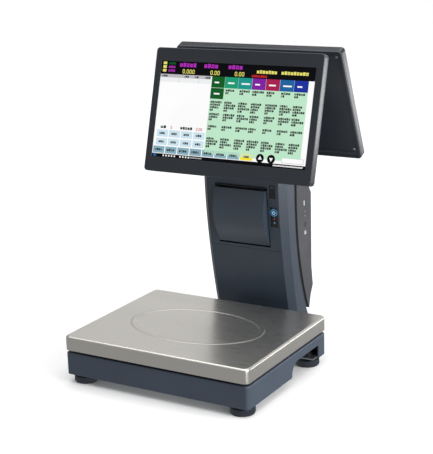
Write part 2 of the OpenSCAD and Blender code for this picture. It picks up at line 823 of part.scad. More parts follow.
// Light guide round the power button
module button_ring() {
    y = face_y(button_z) + bezel_sink - button_proud;
    color("#6AB4E8") placed() translate([bezel_x, y, button_z]) rotate([-90, 0, 0]) difference() {
        cylinder(h = bezel_t + button_proud + 1, r = ring_r);
        translate([0, 0, -1]) cylinder(h = bezel_t + button_proud + 3, r = button_r + button_gap);
    }
}

// Power button
module power_button() {
    y = face_y(button_z) + bezel_sink - 2 * button_proud;
    color(black_plastic) placed() translate([bezel_x, y, button_z]) rotate([-90, 0, 0])
        cylinder(h = button_l, r = button_r);
}

// Two small status lenses below the button
module status_lenses() {
    color("#C8302A") placed() for (z = lens_z)
        translate([bezel_x, face_y(z) + bezel_sink - 0.3, z]) rotate([-90, 0, 0])
            cylinder(h = bezel_t + 0.8, r = lens_r);
}

// Main board on its standoffs, with a finned heat sink
module main_board() {
    fins = 9;
    pitch = 6;
    color("#1F5B3A") placed() {
        translate([-80, board_y, 205]) cube([80 + board_edge, board_t, 100]);
        for (x = [-50, 50], z = [212, 298])
            translate([x, frame_rear_y, z]) rotate([-90, 0, 0]) cylinder(h = board_y - frame_rear_y, r = 3);
        translate([-30, board_face_y, 230]) cube([(fins - 1) * pitch + 2, 3, 50]);
        for (i = [0 : fins - 1])
            translate([-30 + i * pitch, board_face_y + 2, 230]) cube([2, 14, 50]);
    }
}

// Enclosed power supply on the front of the frame
module power_supply() {
    color("#A7AAAC") placed() difference() {
        translate([-50, frame_y - 24, 66]) cube([100, 24, 126]);
        for (z = [80 : 10 : 180]) translate([-40, frame_y - 25, z]) cube([80, 3, 4]);
    }
}

// Ports on the board's right edge: one USB socket and two audio jacks
module port_block() {
    color("#C7CACC") placed() {
        difference() {
            translate([port_x - usb_l, board_face_y, usb_z - usb_wide / 2])
                cube([usb_l, usb_high, usb_wide]);
            translate([port_x - usb_l + 3, board_face_y + 0.8, usb_z - usb_wide / 2 + 0.8])
                cube([usb_l, usb_high - 1.6, usb_wide - 1.6]);
        }
        translate([port_x - usb_l + 2, board_face_y + 2.6, usb_z - usb_wide / 2 + 2])
            cube([usb_l - 4, 1.8, usb_wide - 4]);
        for (z = jack_zs) difference() {
            union() {
                translate([port_x - 13, board_face_y, z - 5]) cube([11, 10, 10]);
                translate([port_x - 3, jack_y, z]) rotate([0, 90, 0]) cylinder(h = 3, r = 3.2);
            }
            translate([port_x - 11, jack_y, z]) rotate([0, 90, 0]) cylinder(h = 12, r = jack_r);
        }
    }
}

// Mains inlet in the rear housing
module power_inlet() {
    y1 = housing_back_y;
    color(black_plastic) placed() translate([inlet_x, 0, inlet_z]) {
        difference() {
            union() {
                translate([-17, y1, -13]) cube([34, 2, 26]);
                translate([-13.8, y1 - 22, -10.1]) cube([27.6, 23, 20.2]);
            }
            translate([-12, y1 - 16, -8.2]) cube([24, 20, 16.4]);
        }
        for (x = [-7, 0, 7]) translate([x - 1, y1 - 17, x == 0 ? -2 : -4]) cube([2, 15, 4]);
    }
}

// Head housing: tapers from the column up to the two display hinges
module head_housing() {
    foot = [88, 192, 300];
    waist = [78, 200, 290];
    neck = [66, 208, 272];
    top = [58, 214, 272];
    slot_w = 8;
    slot_half = ear_r + 7;
    color(column_blue) placed() difference() {
        head_solid([concat(housing_top_z, foot), concat(400, waist), concat(450, neck),
            concat(head_top_z, top)], 0);
        head_solid([concat(housing_top_z - 1, foot), concat(400, waist), concat(450, neck),
            concat(head_top_z - head_wall, top)], head_wall);
        translate([-column_x, face_top_y - 1, housing_top_z - 1])
            cube([column_w, strip_top_y + 3 - face_top_y + 1, column_top_z - housing_top_z + 1]);
        for (x = [-1, 1], p = [[frame_y - 80, front_hinge_z], [frame_rear_y + 1, rear_hinge_z]])
            translate([x * (bracket_x - bracket_t / 2) - slot_w / 2, p[0], p[1] - slot_half])
                cube([slot_w, 70, 2 * slot_half]);
    }
}

// The head's block between levels of height, half width, front and back
module head_solid(levels, inset) {
    loft([for (l = levels) let (x = l[1] - inset, f = l[2] + inset, b = l[3] - inset, c = 8)
        [[-x + c, f, l[0]], [x - c, f, l[0]], [x, f + c, l[0]], [x, b - c, l[0]], [x - c, b, l[0]],
         [-x + c, b, l[0]], [-x, b - c, l[0]], [-x, f + c, l[0]]]]);
}

// A pair of steel arms from the frame to a hinge axis
module bracket_pair(y_frame, y_hinge, z_hinge) {
    front = min(y_frame, y_hinge);
    web = 3;
    side = y_hinge < y_frame ? -web : 0;
    difference() {
        union() {
            translate([-bracket_x, y_frame + side, z_hinge - ear_r]) cube([2 * bracket_x, web, 2 * ear_r]);
            for (x = [-bracket_x, bracket_x - bracket_t]) {
                translate([x, front, z_hinge - ear_r])
                    cube([bracket_t, abs(y_hinge - y_frame), 2 * ear_r]);
                translate([x, y_hinge, z_hinge]) rotate([0, 90, 0]) cylinder(h = bracket_t, r = ear_r);
            }
        }
        translate([-bracket_x - 1, y_hinge, z_hinge]) rotate([0, 90, 0])
            cylinder(h = 2 * bracket_x + 2, r = tilt_pin_r);
    }
}

// Tilt brackets for both displays
module tilt_brackets() {
    color(steel) placed() {
        bracket_pair(frame_y, front_hinge_y, front_hinge_z);
        bracket_pair(frame_rear_y, rear_hinge_y, rear_hinge_z);
    }
}

// Hinge pins for both displays
module tilt_pins() {
    color(zinc) placed() for (p = [[front_hinge_y, front_hinge_z], [rear_hinge_y, rear_hinge_z]])
        translate([-bracket_x - 2, p[0], p[1]]) rotate([0, 90, 0])
            cylinder(h = 2 * bracket_x + 4, r = tilt_pin_r);
}

// Places a display drawn upright, with the middle of its face at the origin and +Y into it
module at_front() {
    placed() translate([0, front_screen_y, front_screen_z]) rotate([-front_tilt, 0, 0]) children();
}
module at_rear() {
    placed() translate([0, rear_screen_y, rear_screen_z]) rotate([0, 0, 180]) rotate([-rear_tilt, 0, 0])
        children();
}

// An upright plate from depth y0 to y1, between two heights
module upright_plate(w, low, high, y0, y1, r) {
    translate([0, y0, (low + high) / 2]) rotate([-90, 0, 0]) rounded_plate(w, high - low, y1 - y0, r);
}

// Display bezel: a tray with a lip round the screen
module bezel() {
    in = bezel_wall;
    difference() {
        upright_plate(display_w, -display_down, display_up, 0, bezel_depth, display_corner);
        upright_plate(display_w - 2 * in, -display_down + in, display_up - in, bezel_lip, bezel_depth + 1,
            display_corner - in);
        translate([-screen_w / 2, -1, -screen_h / 2]) cube([screen_w, bezel_lip + 2, screen_h]);
    }
}

// Touch glass behind the lip
module glass() {
    upright_plate(screen_w + 12, -screen_h / 2 - 6, screen_h / 2 + 6, bezel_lip, bezel_lip + glass_t, 2);
}

// LCD panel behind the glass
module lcd() {
    upright_plate(screen_w + 14, -screen_h / 2 - 8, screen_h / 2 + 8, bezel_lip + glass_t,
        bezel_lip + glass_t + lcd_t, 1);
}

// Back cover: shallow dish with a raised middle for the hinge leaf
module back_cover() {
    t = cover_wall;
    difference() {
        union() {
            upright_plate(display_w, -display_down, display_up, bezel_depth, display_t, display_corner);
            upright_plate(bulge_w, bulge_low, bulge_high, bezel_depth + 1, bulge_depth, 10);
        }
        upright_plate(display_w - 2 * bezel_wall, -display_down + bezel_wall, display_up - bezel_wall,
            bezel_depth - 1, display_t - t, display_corner - bezel_wall);
        upright_plate(bulge_w - 2 * t, bulge_low + t, bulge_high - t, bezel_depth - 1, bulge_depth - t,
            10 - t);
    }
}

// Hinge leaf screwed to the back cover, with two knuckles on the tilt pin
module hinge_leaf() {
    out = bracket_x - bracket_t - leaf_gap;
    difference() {
        union() {
            upright_plate(2 * out + 10, -hinge_drop - 26, -hinge_drop + 26, bulge_depth, bulge_depth + 3, 4);
            for (x = [-out, out - leaf_w]) {
                translate([x, bulge_depth + 1, -hinge_drop - leaf_r])
                    cube([leaf_w, hinge_depth - bulge_depth - 1, 2 * leaf_r]);
                translate([x, hinge_depth, -hinge_drop]) rotate([0, 90, 0])
                    cylinder(h = leaf_w, r = leaf_r);
            }
        }
        translate([-out - 1, hinge_depth, -hinge_drop]) rotate([0, 90, 0])
            cylinder(h = 2 * out + 2, r = tilt_pin_r + tilt_pin_gap);
    }
}

module front_bezel() { color("#2B2F36") at_front() bezel(); }
module front_glass() { color("#101216") at_front() glass(); }
module front_lcd() { color("#8F9498") at_front() lcd(); }
module front_back_cover() { color("#2E333A") at_front() back_cover(); }
module front_hinge_leaf() { color(steel) at_front() hinge_leaf(); }
module rear_bezel() { color("#2B2F36") at_rear() bezel(); }
module rear_glass() { color("#101216") at_rear() glass(); }
module rear_lcd() { color("#8F9498") at_rear() lcd(); }
module rear_back_cover() { color("#2E333A") at_rear() back_cover(); }
module rear_hinge_leaf() { color(steel) at_rear() hinge_leaf(); }

base_housing();
chassis_plate();
load_cell();
load_cell_mount();
cell_spacer();
spider();
spider_pads();
overload_stops();
platter();
foot_front_left();
foot_front_right();
foot_rear_left();
foot_rear_right();
foot_arm_left();
foot_arm_right();
pad_front_left();
pad_front_right();
pad_rear_left();
pad_rear_right();
pad_arm_left();
pad_arm_right();
foot_nuts();
chassis_screws();
rear_arm();
column_frame();
column_shell();
column_trim();
rear_housing();
printer_panel();
printer_bucket();
paper_spindle();
paper_roll();
paper_core();
print_head();
tear_bar();
door_pin();
printer_door();
platen_roller();
release_latch();
control_bezel();
button_ring();
power_button();
status_lenses();
main_board();
power_supply();
port_block();
power_inlet();
head_housing();
tilt_brackets();
tilt_pins();
front_bezel();
front_glass();
front_lcd();
front_back_cover();
front_hinge_leaf();
rear_bezel();
rear_glass();
rear_lcd();
rear_back_cover();
rear_hinge_leaf();
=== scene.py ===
"""Looks of a retail price scale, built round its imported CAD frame.

The scale has a stainless platter on a low moulded base, a curved column with a label printer,
and two tilting displays back to back. Each sub-assembly is a class. Lengths inside the classes
are millimetres from the middle of the platter, with the counter at height 0.
"""

import logging
import math
from collections.abc import Callable, Sequence
from dataclasses import dataclass, field
from enum import Enum

import bmesh
import bpy
from mathutils import Matrix, Vector


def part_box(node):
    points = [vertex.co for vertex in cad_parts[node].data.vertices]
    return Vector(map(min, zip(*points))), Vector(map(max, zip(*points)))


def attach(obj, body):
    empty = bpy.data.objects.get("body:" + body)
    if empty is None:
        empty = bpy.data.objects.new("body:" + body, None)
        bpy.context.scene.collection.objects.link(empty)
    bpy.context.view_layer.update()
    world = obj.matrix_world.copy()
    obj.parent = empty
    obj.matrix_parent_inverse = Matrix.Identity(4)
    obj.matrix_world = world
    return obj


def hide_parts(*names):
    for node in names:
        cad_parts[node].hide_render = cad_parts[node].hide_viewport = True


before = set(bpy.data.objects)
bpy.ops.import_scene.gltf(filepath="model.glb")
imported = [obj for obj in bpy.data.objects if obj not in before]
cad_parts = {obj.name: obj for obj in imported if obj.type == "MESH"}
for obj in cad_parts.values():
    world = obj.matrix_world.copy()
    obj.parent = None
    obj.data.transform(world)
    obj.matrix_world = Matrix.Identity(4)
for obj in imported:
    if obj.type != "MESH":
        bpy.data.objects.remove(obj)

LOG = logging.getLogger("price_scale")
MM = 0.001
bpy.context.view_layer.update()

Mesh = bmesh.types.BMesh
Vert = bmesh.types.BMVert
Edge = bmesh.types.BMEdge
Face = bmesh.types.BMFace
Tree = bpy.types.NodeTree
Node = bpy.types.Node
Socket = bpy.types.NodeSocket

# How near to a plane a point counts as on it, and a direction as square to it.
ON_PLANE = 0.01
SQUARE = 0.9


def platter_middle() -> Vector:
    """Finds the middle of the platter at counter height, in metres.

    Returns:
        The origin of the classes' own millimetre coordinates.
    """
    low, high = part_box("platter")
    return Vector(((low.x + high.x) / 2, (low.y + high.y) / 2, 0.0))


TO_FRAME = Matrix.Translation(platter_middle()) @ Matrix.Scale(MM, 4)


# ---------------------------------------------------------------- finishes

# The part of a noise's range from 0 to 1 where most of its values lie.
GRAIN_RANGE = (0.3, 0.7)
# The same for the slow patches with their share of fine grain.
PATCH_RANGE = (0.45, 0.9)
MIN_ROUGHNESS = 0.02
GRAIN_MAP = "grain"
# A quarter turn, which lays the highlights across the brushing.
ACROSS_GRAIN = 0.25
# What a glowing surface looks like with its light off.
UNLIT = (0.004, 0.004, 0.005, 1.0)
WHITE = (1.0, 1.0, 1.0, 1.0)
# The wave texture repeats once in a full turn of its phase.
WAVE_TURN = 6.28


def linear(code: str) -> tuple[float, float, float, float]:
    """Turns an sRGB hex colour into a linear one.

    Args:
        code: The colour, such as "#3C444D".

    Returns:
        Linear red, green and blue, with an alpha of one.
    """
    parts = [int(code[i : i + 2], 16) / 255 for i in (1, 3, 5)]
    red, green, blue = (
        p / 12.92 if p <= 0.04045 else ((p + 0.055) / 1.055) ** 2.4 for p in parts
    )
    return (red, green, blue, 1.0)


def add_node(
    tree: Tree,
    kind: str,
    settings: dict[str, object] | None = None,
    inputs: dict[str | int, object] | None = None,
) -> Node:
    """Adds a shader node, sets it up and links it.

    Args:
        tree: The node tree that gets the node.
        kind: The node's type, such as "ShaderNodeBump".
        settings: Values of the node's own properties.
        inputs: Values, output sockets or nodes (their first output), by input name or number.

    Returns:
        The new node.
    """
    node = tree.nodes.new(kind)
    for name, value in (settings or {}).items():
        setattr(node, name, value)
    for name, value in (inputs or {}).items():
        if isinstance(value, Node):
            value = value.outputs[0]
        if isinstance(value, Socket):
            tree.links.new(value, node.inputs[name])
        else:
            node.inputs[name].default_value = value
    return node


@dataclass(frozen=True)
class Finish:
    """A surface finish with slow colour patches, a fine grain in colour and gloss, and a bump."""

    name: str
    colour: str
    slot: str | None = None
    roughness: float = 0.5
    metallic: float = 0.0
    ior: float = 1.5
    shade: float = 0.12
    gloss_spread: float = 0.08
    patch_mm: float = 70.0
    grain_mm: float = 2.0
    depth_mm: float = 0.02
    stretch: tuple[float, float, float] = (1.0, 1.0, 1.0)
    grain_share: float = 0.35
    reads: str = "Object"

    def material(self) -> bpy.types.Material:
        """Makes the material, or finds it if it is already made.

        Returns:
            The material of this finish.
        """
        made = bpy.data.materials.get(self.name)
        if made is None:
            made = bpy.data.materials.new(self.name)
            made.use_nodes = True
            made.diffuse_color = linear(self.colour)
            made.node_tree.nodes.clear()
            self.lay_nodes(made.node_tree)
        return made

    def coordinates(self, tree: Tree) -> Socket:
        """Gives the coordinates that the patterns read, stretched along the grain.

        Args:
            tree: The material's node tree.

        Returns:
            The vector output to read.
        """
        where = add_node(tree, "ShaderNodeTexCoord")
        mapping = add_node(
            tree, "ShaderNodeMapping",
            inputs={"Vector": where.outputs[self.reads], "Scale": self.stretch},
        )
        return mapping.outputs["Vector"]

    def pattern(self, tree: Tree, vector: Socket) -> Socket:
        """Gives the fine grain, from 0 to 1.

        Args:
            tree: The material's node tree.
            vector: The coordinates to read.

        Returns:
            The grain's value output.
        """
        scale = 1 / (self.grain_mm * MM)
        grain = add_node(
            tree, "ShaderNodeTexNoise",
            inputs={"Vector": vector, "Scale": scale, "Detail": 3.0, "Roughness": 0.6},
        )
        return grain.outputs[0]

    def lay_nodes(self, tree: Tree) -> None:
        """Lays out the nodes that every finish has.

        Args:
            tree: The material's empty node tree.
        """
        vector = self.coordinates(tree)
        patches = add_node(
            tree, "ShaderNodeTexNoise",
            inputs={"Vector": vector, "Scale": 1 / (self.patch_mm * MM), "Detail": 2.0},
        )
        grain = self.pattern(tree, vector)
        blend = add_node(
            tree, "ShaderNodeMath", {"operation": "MULTIPLY_ADD"},
            {0: grain, 1: self.grain_share, 2: patches},
        )
        spread = self.remap(tree, blend, PATCH_RANGE, (1 - self.shade, 1 + self.shade))
        colour = add_node(
            tree, "ShaderNodeVectorMath", {"operation": "SCALE"},
            {0: linear(self.colour)[:3], "Scale": spread},
        )
        dullest = min(1.0, self.roughness + self.gloss_spread)
        glossiest = max(MIN_ROUGHNESS, self.roughness - self.gloss_spread)
        gloss = self.remap(tree, grain, GRAIN_RANGE, (glossiest, dullest))
        bump = add_node(
            tree, "ShaderNodeBump",
            inputs={"Height": grain, "Strength": 1.0, "Distance": self.depth_mm * MM},
        )
        shader = add_node(
            tree, "ShaderNodeBsdfPrincipled",
            inputs={
                "Base Color": colour,
                "Roughness": gloss,
                "Normal": bump,
                "Metallic": self.metallic,
                "IOR": self.ior,
            },
        )
        self.dress(tree, shader, spread)
        add_node(tree, "ShaderNodeOutputMaterial", inputs={"Surface": shader})

    def remap(
        self, tree: Tree, value: Node | Socket, seen: Sequence[float], given: Sequence[float]
    ) -> Node:
        """Stretches a pattern's usual range to another one.

        Args:
            tree: The material's node tree.
            value: The pattern.
            seen: The range that the pattern mostly keeps to.
            given: The range to give instead.

        Returns:
            The node that gives the new value.
        """
        names = ("From Min", "From Max", "To Min", "To Max")
        limits = dict(zip(names, (*seen, *given)))
        return add_node(tree, "ShaderNodeMapRange", inputs={"Value": value, **limits})

    def dress(self, tree: Tree, shader: Node, spread: Node) -> None:
        """Adds what only this kind of finish has. The plain finish adds nothing.

        Args:
            tree: The material's node tree. Not used here.
            shader: The Principled shader. Not used here.
            spread: The brightness factor of the slow patches. Not used here.
        """


@dataclass(frozen=True)
class BrushedSheet(Finish):
    """Brushed sheet metal, whose grain runs along U of the piece's own UV map, in metres."""

    reads: str = "UV"
    anisotropy: float = 0.6

    def dress(self, tree: Tree, shader: Node, spread: Node) -> None:
        """Stretches the highlights across the grain.

        Args:
            tree: The material's node tree.
            shader: The Principled shader.
            spread: The brightness factor of the slow patches. Not used here.
        """
        tangent = add_node(
            tree, "ShaderNodeTangent", {"direction_type": "UV_MAP", "uv_map": GRAIN_MAP}
        )
        shader.inputs["Anisotropic"].default_value = self.anisotropy
        shader.inputs["Anisotropic Rotation"].default_value = ACROSS_GRAIN
        tree.links.new(tangent.outputs[0], shader.inputs["Tangent"])


@dataclass(frozen=True)
class Lit(Finish):
    """A surface that glows by itself, such as a screen's picture or a lamp."""

    strength: float = 1.0
    specular: float = 0.2

    def dress(self, tree: Tree, shader: Node, spread: Node) -> None:
        """Makes the surface glow with the slow patches of its backlight.

        Args:
            tree: The material's node tree.
            shader: The Principled shader.
            spread: The brightness factor of the slow patches.
        """
        glow = add_node(
            tree, "ShaderNodeVectorMath", {"operation": "SCALE"},
            {0: linear(self.colour)[:3], "Scale": spread},
        )
        for link in list(shader.inputs["Base Color"].links):
            tree.links.remove(link)
        shader.inputs["Base Color"].default_value = UNLIT
        shader.inputs["Specular IOR Level"].default_value = self.specular
        shader.inputs["Emission Strength"].default_value = self.strength
        tree.links.new(glow.outputs[0], shader.inputs["Emission Color"])


@dataclass(frozen=True)
class Backlit(Finish):
    """An opal sheet that keeps its own colour and glows a little."""

    strength: float = 0.2

    def dress(self, tree: Tree, shader: Node, spread: Node) -> None:
        """Adds the even glow.

        Args:
            tree: The material's node tree. Not used here.
            shader: The Principled shader.
            spread: The brightness factor of the slow patches. Not used here.
        """
        shader.inputs["Emission Color"].default_value = WHITE
        shader.inputs["Emission Strength"].default_value = self.strength


@dataclass(frozen=True)
class Layered(Finish):
    """Material in thin layers wound round an axis along X, such as a roll of paper."""

    axis_mm: tuple[float, float] = (0.0, 0.0)

    def pattern(self, tree: Tree, vector: Socket) -> Socket:
        """Gives the wound layers, seen on the roll's ends.

        Args:
            tree: The material's node tree.
            vector: The coordinates to read.

        Returns:
            The layers' value output.
        """
        middle = TO_FRAME @ Vector((0.0, *self.axis_mm))
        centred = add_node(
            tree, "ShaderNodeMapping", inputs={"Vector": vector, "Location": -middle}
        )
        scale = 1 / (self.grain_mm * MM) / WAVE_TURN
        rings = add_node(
            tree, "ShaderNodeTexWave", {"wave_type": "RINGS", "rings_direction": "X"},
            {"Vector": centred, "Scale": scale, "Distortion": 0.4, "Detail": 1.0},
        )
        return rings.outputs[1]


@dataclass(frozen=True)
class Board(Finish):
    """Circuit board with copper tracks under green solder mask."""

    def pattern(self, tree: Tree, vector: Socket) -> Socket:
        """Gives the tracks, as the edges of square cells.

        Args:
            tree: The material's node tree.
            vector: The coordinates to read.

        Returns:
            The tracks' value output.
        """
        cells = add_node(
            tree, "ShaderNodeTexVoronoi", {"distance": "CHEBYCHEV", "feature": "F1"},
            {"Vector": vector, "Scale": 1 / (self.grain_mm * MM), "Randomness": 0.7},
        )
        return cells.outputs[0]


# Spark-eroded ABS, matt blue grey. Its real grain of 0.3 mm is drawn at 1.6 mm to show at all.
BASE_ABS = Finish(
    "Moulded ABS, blue grey", "#3C4654", "base_moulding",
    roughness=0.46, grain_mm=1.6, depth_mm=0.012, shade=0.07,
)
# The column's darker ABS, a little smoother, so that it shines softly along its corners.
COLUMN_ABS = Finish(
    "Moulded ABS, slate", "#36404C", "column_moulding",
    roughness=0.4, grain_mm=1.4, depth_mm=0.01, shade=0.07,
)
# The door is moulded in the column's ABS, a shade lighter.
DOOR_ABS = Finish(
    "Moulded ABS, slate door", "#3A4450", "door_moulding",
    roughness=0.38, grain_mm=1.4, depth_mm=0.01, shade=0.07,
)
# The displays' ABS and polycarbonate blend, near black with a polished skin, so its edges shine.
DISPLAY_ABS = Finish(
    "Moulded PC-ABS, charcoal", "#20252C", "display_moulding",
    roughness=0.24, ior=1.55, grain_mm=1.2, depth_mm=0.002, shade=0.06, gloss_spread=0.04,
)
# The displays' back covers, in the same blend but left matt and a little paler.
COVER_ABS = Finish(
    "Moulded PC-ABS, matt charcoal", "#2F353D", "display_moulding",
    roughness=0.34, ior=1.55, grain_mm=1.2, depth_mm=0.005, shade=0.06,
)
# Warm grey ABS with a coarse leather grain, drawn at 2.2 mm.
HOUSING_ABS = Finish(
    "Grained ABS, warm grey", "#434549", "textured_grey",
    roughness=0.62, grain_mm=2.2, depth_mm=0.09, shade=0.16, gloss_spread=0.12,
)
# Dark insert in the gap between the column's two halves. The display covers' screw crosses are
# laid in it too, as painted shade of their recesses.
TRIM_ABS = Finish(
    "Moulded ABS, trim black", "#15181D", "dark_trim",
    roughness=0.5, grain_mm=1.5, depth_mm=0.01,
)
# Glass-filled nylon for the bucket and the power inlet: black, with a faint sheen. The display
# covers' vent slots are bars of it too, as painted shade in the openings.
NYLON = Finish(
    "Glass-filled nylon, black", "#1A1F26", "black_plastic",
    roughness=0.42, grain_mm=1.0, depth_mm=0.015, shade=0.15,
)
# The feet's nylon, a shade bluer, with a polish that picks out the knurling.
FOOT_NYLON = Finish(
    "Glass-filled nylon, blue black", "#1F2732", "black_plastic",
    roughness=0.3, ior=1.53, grain_mm=1.0, depth_mm=0.008, shade=0.15,
)
# Polished black polycarbonate of the control strip and button.
GLOSS_PC = Finish(
    "Polished polycarbonate, black", "#0C0E12", "black_plastic",
    roughness=0.18, ior=1.58, grain_mm=1.5, depth_mm=0.002, shade=0.1, gloss_spread=0.05,
)
# Moulded acetal of the data port's tongue, the jack's collar and the light pipes.
IVORY_ACETAL = Finish(
    "Moulded acetal, ivory", "#E4E6E6", "port_metal",
    roughness=0.35, grain_mm=1.0, depth_mm=0.004, shade=0.05,
)
# Nitrile rubber, dull and slightly dusty.
RUBBER = Finish(
    "Nitrile rubber", "#1C1D1F", "rubber_pad",
    roughness=0.82, grain_mm=1.2, depth_mm=0.03, shade=0.2,
)
# 1.2 mm stainless sheet brushed along its length, with strokes about 60 mm long and 0.9 mm apart.
STAINLESS = BrushedSheet(
    "Brushed stainless steel", "#CECBC5", "brushed_stainless",
    roughness=0.3, metallic=1.0, shade=0.035, gloss_spread=0.05, patch_mm=90.0,
    grain_mm=1.0, depth_mm=0.0012, stretch=(0.02, 1.1, 1.0),
)
# Hot-rolled and pickled steel plate, faintly mottled.
STEEL = Finish(
    "Pickled steel plate", "#9DA2A6", "steel_plate",
    roughness=0.42, metallic=1.0, grain_mm=3.0, depth_mm=0.01, shade=0.1,
)
# Bright zinc plating on nuts, screws and pins, with a soft spangle.
ZINC = Finish(
    "Bright zinc plating", "#B9BDC0", "zinc_plating",
    roughness=0.28, metallic=1.0, grain_mm=2.0, depth_mm=0.006, shade=0.12,
)
# Black zinc plating on the feet's studs and nuts, which hides them in the base's shade: partly
# their own plating, partly painted shade under the base.
BLACK_ZINC = Finish(
    "Black zinc plating", "#22262B", "zinc_plating",
    roughness=0.38, metallic=0.7, grain_mm=2.0, depth_mm=0.006, shade=0.12,
)
# Sand-cast and tumbled aluminium, dull and slightly pitted.
CAST_ALUMINIUM = Finish(
    "Tumbled cast aluminium", "#B9BBBC", "aluminium_casting",
    roughness=0.5, metallic=1.0, grain_mm=1.8, depth_mm=0.05, shade=0.1,
)
# Nickel-plated brass shells of the sockets.
NICKEL = Finish(
    "Nickel plating", "#C7CACC", "port_metal",
    roughness=0.22, metallic=1.0, grain_mm=1.2, depth_mm=0.002, shade=0.06,
)
# Ground steel of the print head.
GROUND_STEEL = Finish(
    "Ground tool steel", "#7E8388", "print_head_metal",
    roughness=0.34, metallic=1.0, grain_mm=0.8, depth_mm=0.004, shade=0.1,
    stretch=(0.1, 1.0, 1.0),
)
# Blackened steel of the tear bar, almost as dark as the slot below it: partly its own black
# finish, partly painted shade of the exit slot.
BLACK_OXIDE = Finish(
    "Black oxide steel", "#1A1D21", "print_head_metal",
    roughness=0.42, metallic=0.6, grain_mm=0.8, depth_mm=0.004, shade=0.1,
    stretch=(0.1, 1.0, 1.0),
)
# Punched sheet case of the power supply.
CASE_STEEL = Finish(
    "Galvanised case sheet", "#A7AAAC", "power_case",
    roughness=0.38, metallic=1.0, grain_mm=6.0, depth_mm=0.004, shade=0.14,
)
# Folded metal tray of the LCD panel.
LCD_TRAY = Finish(
    "Folded LCD tray", "#8F9498", "lcd_metal",
    roughness=0.36, metallic=1.0, grain_mm=2.5, depth_mm=0.004, shade=0.08,
)
# Hardened touch glass over a black border print.
TOUCH_GLASS = Finish(
    "Hardened touch glass", "#0B0C0F", "screen_glass",
    roughness=0.12, ior=1.52, grain_mm=2.0, depth_mm=0.0005, shade=0.1, gloss_spread=0.03,
)
# Coated thermal paper, wound in layers that are drawn 0.9 mm apart.
THERMAL_PAPER = Layered(
    "Thermal paper roll", "#F0F0EC", "thermal_paper",
    roughness=0.72, grain_mm=0.9, depth_mm=0.03, shade=0.06, axis_mm=(229.0, 252.0),
)
# Spiral-wound grey board of the roll's core.
CORE_BOARD = Layered(
    "Wound paper board", "#B79A6E", "paper_board",
    roughness=0.85, grain_mm=1.2, depth_mm=0.05, shade=0.12, axis_mm=(229.0, 252.0),
)
# Glass-epoxy board with green solder mask, its tracks 3 mm apart.
CIRCUIT_BOARD = Board(
    "Green solder mask", "#1F5B3A", "board_green",
    roughness=0.4, grain_mm=3.0, depth_mm=0.03, shade=0.25,
)


def lamp(name: str, colour: str, slot: str | None, strength: float) -> Lit:
    """Describes a small diffused lamp or light guide.

    Args:
        name: The material's name.
        colour: Its sRGB hex colour.
        slot: The record's material slot.
        strength: How strongly it glows.

    Returns:
        The finish.
    """
    return Lit(
        name, colour, slot, roughness=0.25, grain_mm=1.5, depth_mm=0.004, shade=0.18,
        patch_mm=6.0, strength=strength, specular=0.5,
    )


RING_LIGHT = lamp("Blue light guide", "#4A90C8", "ring_light", 0.75)
RING_GLINT = lamp("White light symbol", "#A8D8F8", "ring_light", 1.1)
RED_LENS = lamp("Red lens", "#A03A34", "lens_red", 0.6)
PALE_LENS = lamp("Pale blue lens", "#6FA8C8", "lens_red", 0.7)


class Ink(Enum):
    """Colours that the lit screens show."""

    BLACK = "#020204"
    WHITE = "#FCFCFC"
    MIST = "#EDEFF0"
    GREY = "#BDBBC0"
    YELLOW = "#E8E070"
    MAGENTA = "#A82CB0"
    RED = "#C02828"
    INK = "#202A24"
    PALE_BLUE = "#CBE3EE"
    MID_BLUE = "#86ACBC"
    GOLD = "#F6E02C"
    FOREST = "#0C5A22"
    JADE = "#1B9A74"
    TEAL = "#18948C"
    PURPLE = "#8020A0"
    CRIMSON = "#A81E50"
    AZURE = "#1E62A0"
    ROYAL = "#1C309C"
    MINT = "#BEE6C8"

    def finish(self) -> Lit:
        """Gives the lit screen colour, with a faint unevenness of the backlight.

        Returns:
            The finish.
        """
        name = f"LCD picture, {self.name.lower().replace('_', ' ')}"
        return Lit(
            name, self.value, "screen_glass", roughness=0.3, grain_mm=1.5, depth_mm=0.001,
            shade=0.03, patch_mm=120.0, strength=1.0, specular=0.03,
        )


# ---------------------------------------------------------------- mesh helpers


def edges_of(verts: Sequence[Vert]) -> list[Edge]:
    """Lists the edges at some vertices, each once."""
    return list({e for v in verts for e in v.link_edges})


def faces_of(verts: Sequence[Vert]) -> list[Face]:
    """Lists the faces at some vertices, each once."""
    return list({f for v in verts for f in v.link_faces})


def level_edges(edges: Sequence[Edge], axis: int, at: float) -> list[Edge]:
    """Picks the edges that lie in a plane square to an axis.

    Args:
        edges: The edges to pick from.
        axis: The axis, 0 for X, 1 for Y or 2 for Z.
        at: Where the plane crosses the axis.

    Returns:
        The edges with both ends in the plane.
    """
    return [e for e in edges if all(abs(v.co[axis] - at) < ON_PLANE for v in e.verts)]


def edges_along(edges: Sequence[Edge], axis: int) -> list[Edge]:
    """Picks the edges that run more than 1 mm along an axis, of 0 for X, 1 for Y or 2 for Z."""
    return [e for e in edges if abs(e.verts[0].co[axis] - e.verts[1].co[axis]) > 1]


def bevel(
    bm: Mesh, edges: Sequence[Edge], width: float, segments: int, clamp: bool = False
) -> list[Vert]:
    """Rounds edges to even arcs.

    Args:
        bm: The mesh to change.
        edges: The edges to round.
        width: Width of the rounding, in the mesh's own units.
        segments: How many strips the rounding has.
        clamp: Whether it stops where two roundings meet.

    Returns:
        The vertices of the roundings.
    """
    return bmesh.ops.bevel(
        bm, geom=edges, offset=width, offset_type="OFFSET", segments=segments,
        profile=0.5, affect="EDGES", clamp_overlap=clamp, material=-1,
    )["verts"]


def place_object(name: str, data: bpy.types.ID) -> bpy.types.Object:
    """Makes an object of a mesh, a light or a camera, and puts it into the scene.

    Args:
        name: The object's name.
        data: What it shows.

    Returns:
        The object.
    """
    made = bpy.data.objects.new(name, data)
    bpy.context.scene.collection.objects.link(made)
    return made


